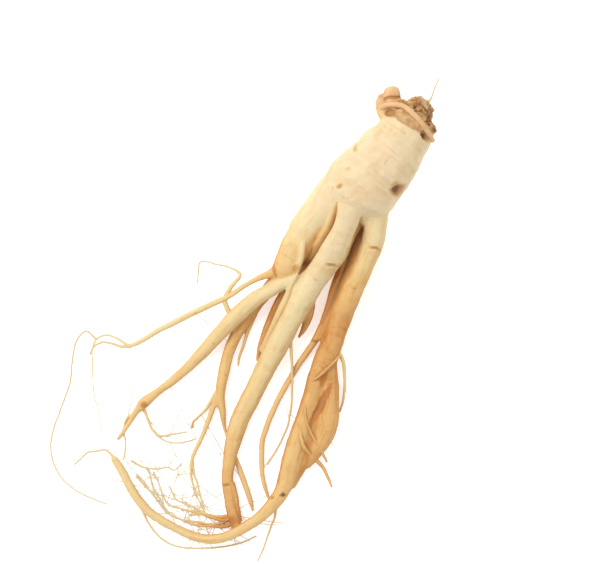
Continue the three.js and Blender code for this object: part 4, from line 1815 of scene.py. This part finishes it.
@dataclass(frozen=True)
class RootFinish:
    """Dried root skin: cream on the body, honey to orange tan on the legs, scarred brown on the crown, with
    painted shade in creases, hollows and grooves and on the flanks.
    """

    ripening: tuple[tuple[float, Colour], ...] = (
        (0.0, (0.715, 0.565, 0.358)),
        (0.15, (0.72, 0.585, 0.33)),
        (0.35, (0.71, 0.53, 0.26)),
        (0.65, (0.68, 0.43, 0.165)),
        (1.0, (0.56, 0.26, 0.08)),
    )
    plates: tuple[tuple[float, Colour], ...] = (
        (0.0, (0.24, 0.085, 0.035)),
        (0.2, (0.42, 0.19, 0.075)),
        (0.4, (0.50, 0.32, 0.15)),
        (0.6, (0.56, 0.40, 0.20)),
        (0.8, (0.42, 0.27, 0.14)),
        (1.0, (0.66, 0.49, 0.28)),
    )
    rim_light: Colour = (0.60, 0.42, 0.19)
    rim_dark: Colour = (0.40, 0.20, 0.09)
    bud_light: Colour = (0.66, 0.46, 0.26)
    bud_warm: Colour = (0.68, 0.39, 0.175)
    hair: Colour = (0.62, 0.53, 0.38)
    # painted shade: the dark orange-brown laid into the creases of the forks
    crease: Colour = (0.50, 0.23, 0.075)
    scar_and_shade_brown: Colour = (0.44, 0.24, 0.095)
    scar_and_shade_dark: Colour = (0.15, 0.068, 0.024)
    streak_tint: Colour = (0.86, 0.68, 0.46)
    blotch_tint: Colour = (0.86, 0.72, 0.62)
    hollow_shade_tint: Colour = (0.78, 0.56, 0.34)
    scab_hollow_shade: Colour = (0.68, 0.48, 0.33)
    bud_hollow_shade: Colour = (0.70, 0.45, 0.28)
    drift_scale: float = 70.0  # in waves to a metre, as the other scales are
    mottle_scale: float = 420.0
    streak_scale: float = 90.0
    blotch_scale: float = 150.0
    rough_scale: float = 480.0
    bud_scale: float = 260.0
    fibre_scale: float = 900.0
    grain_scale: float = 2600.0
    grain_depth: float = 0.12 * MM
    grain_strength: float = 0.45
    hair_radii: tuple[float, float] = (0.55 * MM, 0.2 * MM)  # a root this thin takes the colour of a hair
    crease_depths: tuple[float, float] = (0.03 * MM, 0.4 * MM)

    def skin(self) -> bpy.types.Material:
        """Makes the material of the fused skin, the thin roots, the flakes and the hairs.

        Returns:
            The material.
        """
        constants = {
            "Roughness": 0.62,
            "Specular IOR Level": 0.2,
            "Subsurface Weight": 0.12,
            "Subsurface Scale": 1.2 * MM,
        }
        paint = Paint("dried_root_skin", constants)
        place = paint.place()
        hollow = paint.number("hollow")
        low = paint.step(hollow, 0.02, -0.22)
        crown = paint.number("crown")
        colour = self._bark(paint, place, low)
        colour = paint.mix(crown, colour, self._crown(paint, place, hollow))
        border = crown * (1.0 - crown) * (1.0 - paint.number("bud")) * 2.6
        colour = paint.mix(border, colour, self.rim_dark)
        # scars, pits and lenticels stain towards brown, and painted shade in the grooves and a few marks
        # darkens the same way
        stain = paint.number("stain")
        colour = paint.mix(paint.step(stain, 0.0, 0.62), colour, self.scar_and_shade_brown)
        colour = paint.mix(paint.step(stain, 0.58, 1.0), colour, self.scar_and_shade_dark)
        paint.feed("Base Color", colour)
        paint.feed("Roughness", 0.58 + low * 0.15 + crown * 0.16)
        _, along, _ = paint.split(paint.vector("girth"))
        around_x, around_y, _ = paint.split(paint.vector("ring"))
        fibre_place = paint.combine(around_x * 3.0, around_y * 3.0, along * self.fibre_scale)
        fibres = paint.noise(fibre_place, 1.0, 4.0, 0.6)
        grain = fibres + paint.noise(place, self.grain_scale, 3.0, 0.6) * 0.7
        paint.bump(grain, self.grain_depth, self.grain_strength)
        return paint.material

    def _bark(self, paint: Paint, place: Term, low: Term) -> Term:
        """The colour of the root below the crown, with painted shade in its creases, hollows, grooves and
        flanks.

        Args:
            paint: the shader tree.
            place: Object coordinates.
            low: how far a point lies in a hollow.

        Returns:
            The colour's Term.
        """
        radius, along, tone = paint.split(paint.vector("girth"))
        around_x, around_y, _ = paint.split(paint.vector("ring"))
        crease = paint.step(paint.number("crease"), *self.crease_depths)
        mottle = paint.noise(place, self.mottle_scale, 3.0, 0.6)
        drift = paint.noise(place, self.drift_scale, 3.0, 0.6) * 0.5 + mottle * 0.28
        # warmth adds warm spots, and painted shade beside the grooves and on a shaded flank
        ripe = tone + paint.number("warmth") * 0.75 + drift * (0.26 + tone * 0.7)
        # painted shade: skin that faces sideways or down turns towards orange, more so the riper the tone
        ripe = ripe + paint.number("flank") * (0.08 + paint.step(tone, 0.0, 0.5) * 0.5)
        colour = paint.ramp(ripe, self.ripening)
        fine = paint.step(radius, *self.hair_radii)
        colour = paint.mix(fine * 0.85, colour, self.hair)
        streak_place = paint.combine(around_x * 2.4, around_y * 2.4, along * self.streak_scale)
        streaks = paint.step(paint.noise(streak_place, 1.0, 4.0, 0.65), -0.04, 0.22)
        colour = paint.tint(colour, streaks * (0.3 + tone * 0.7), self.streak_tint)
        blotches = paint.step(paint.noise(place, self.blotch_scale, 4.0, 0.65), 0.12, 0.34)
        colour = paint.tint(colour, blotches * 0.5, self.blotch_tint)
        # painted shade: the bark darkens in the hollows of its relief
        colour = paint.tint(colour, low * (0.2 + tone * 0.45), self.hollow_shade_tint)
        # painted shade: the creases of the forks darken towards crease
        return paint.mix(crease * 0.8, colour, self.crease)

    def _crown(self, paint: Paint, place: Term, hollow: Term) -> Term:
        """The colour of the crown: a tan rim, scabs in plates of many browns, and the paler bud, with
        painted shade in their hollows.

        Args:
            paint: the shader tree.
            place: Object coordinates.
            hollow: the relief's height, in millimetres.

        Returns:
            The colour's Term.
        """
        rough = paint.noise(place, self.rough_scale, 5.0, 0.7)
        # the rim darkens where the noise is low, as mottled tone, and in the hollows of the relief, as
        # painted shade
        rim = paint.mix(paint.step(rough + hollow * 0.9, 0.2, -0.22), self.rim_light, self.rim_dark)
        plate = paint.number("plate") + rough * 0.4
        scabs = paint.ramp(plate, self.plates)
        # painted shade: the scabs darken in the hollows of the relief
        scabs = paint.tint(scabs, paint.step(hollow, 0.0, -0.8), self.scab_hollow_shade)
        colour = paint.mix(paint.number("scab"), rim, scabs)
        warm = paint.step(paint.noise(place, self.bud_scale, 3.0), -0.15, 0.2)
        bud = paint.mix(warm, self.bud_light, self.bud_warm)
        # painted shade: the bud darkens in the hollows of the relief
        bud = paint.tint(bud, paint.step(hollow, 0.0, -0.25), self.bud_hollow_shade)
        return paint.mix(paint.number("bud"), colour, bud)


# ---------------------------------------------------------------------------------------------------
# The studio
# ---------------------------------------------------------------------------------------------------


@dataclass
class Studio:
    """A pale floor, soft light and a camera that looks straight down on the root."""

    view_centre: tuple[float, float] = (-28.8 * MM, -44.8 * MM)
    view_width: float = 240 * MM
    focus_height: float = 8 * MM
    camera_height: float = 0.9
    floor_size: float = 3.0
    floor_glow: float = 0.5
    sky_strength: float = 0.66
    key_power: float = 12.0
    fill_power: float = 2.0

    def build(self) -> None:
        """Makes the floor, the light and the camera."""
        self._floor()
        self._light()
        self._camera()

    def _floor(self) -> None:
        """A plain pale floor that the root lies on, lit a little from within as a light table is."""
        half = self.floor_size / 2
        mesh = bpy.data.meshes.new("floor")
        corners = [(-half, -half, 0.0), (half, -half, 0.0), (half, half, 0.0), (-half, half, 0.0)]
        mesh.from_pydata(corners, [], [(0, 1, 2, 3)])
        white = (0.93, 0.93, 0.93, 1.0)
        constants = {
            "Base Color": white,
            "Roughness": 0.9,
            "Emission Color": white,
            "Emission Strength": self.floor_glow,
        }
        mesh.materials.append(Paint("pale_floor", constants).material)
        link_new("floor", mesh)

    def _light(self) -> None:
        """An even white sky and two large soft lamps, the stronger at the upper left."""
        scene = bpy.context.scene
        world = bpy.data.worlds.new("studio")
        world.use_nodes = True
        world.node_tree.nodes["Background"].inputs["Color"].default_value = (1.0, 1.0, 1.0, 1.0)
        world.node_tree.nodes["Background"].inputs["Strength"].default_value = self.sky_strength
        scene.world = world
        self._lamp("key", (-0.6, 0.5, 1.0), 0.7, self.key_power)
        self._lamp("fill", (0.7, -0.5, 0.9), 0.9, self.fill_power)
        scene.view_settings.view_transform = "Standard"
        scene.view_settings.look = "None"

    def _lamp(self, name: str, place: tuple[float, float, float], size: float, power: float) -> None:
        """Adds a square area lamp that faces the root.

        Args:
            name: the lamp's name.
            place: where it stands.
            size: its side.
            power: its power in watts.
        """
        data = bpy.data.lights.new(name, "AREA")
        data.size, data.energy = size, power
        lamp = bpy.data.objects.new(name, data)
        lamp.location = place
        aim = Vector((*self.view_centre, 0.0)) - lamp.location
        lamp.rotation_euler = aim.to_track_quat("-Z", "Y").to_euler()
        bpy.context.scene.collection.objects.link(lamp)

    def _camera(self) -> None:
        """The camera, straight above the middle of the view."""
        data = bpy.data.cameras.new("camera")
        distance = self.camera_height - self.focus_height
        data.lens = data.sensor_width * distance / self.view_width
        camera = bpy.data.objects.new("camera", data)
        camera.location = (*self.view_centre, self.camera_height)
        bpy.context.scene.collection.objects.link(camera)
        bpy.context.scene.camera = camera


# ---------------------------------------------------------------------------------------------------
# The whole root
# ---------------------------------------------------------------------------------------------------


@dataclass
class GinsengRoot:
    """The root's pieces, each of which rides on the one body and stands for the one CAD node."""

    finish: RootFinish = field(default_factory=RootFinish)
    skin: FusedSkin = field(default_factory=FusedSkin)
    flakes: CrownFlakes = field(default_factory=CrownFlakes)
    strap: ThinRoots = field(default_factory=lambda: ThinRoots("crown_strap", (STRAP,)))
    rootlets: ThinRoots = field(default_factory=lambda: ThinRoots("rootlets", ROOTLETS))
    web: ThinRoots = field(default_factory=lambda: ThinRoots("hair_web", WEB, stray=0.8 * MM))
    hairs: FineHairs = field(default_factory=FineHairs)

    def build(self) -> list[bpy.types.Object]:
        """Makes every piece and ties it to the frame.

        Returns:
            The pieces.
        """
        material = self.finish.skin()
        thick = (BODY_ROOT, *LEGS, *BRANCHES, *CROWN)
        skin = self.skin.build(thick, material)
        pieces = [
            skin,
            self.flakes.build(skin, material),
            self.strap.build(material),
            self.rootlets.build(material),
            self.web.build(material),
            self.hairs.build((*thick, *ROOTLETS, *WEB), material),
        ]
        for piece in pieces:
            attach(piece, BODY)
            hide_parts(NODE)
            LOG.info("%s: %d faces", piece.name, len(piece.data.polygons))
        return pieces


def main() -> None:
    """Builds the studio and the root, and reports each piece."""
    logging.basicConfig(level=logging.INFO, format="%(name)s: %(message)s")
    Studio().build()
    GinsengRoot().build()


if __name__ == "__main__":
    main()
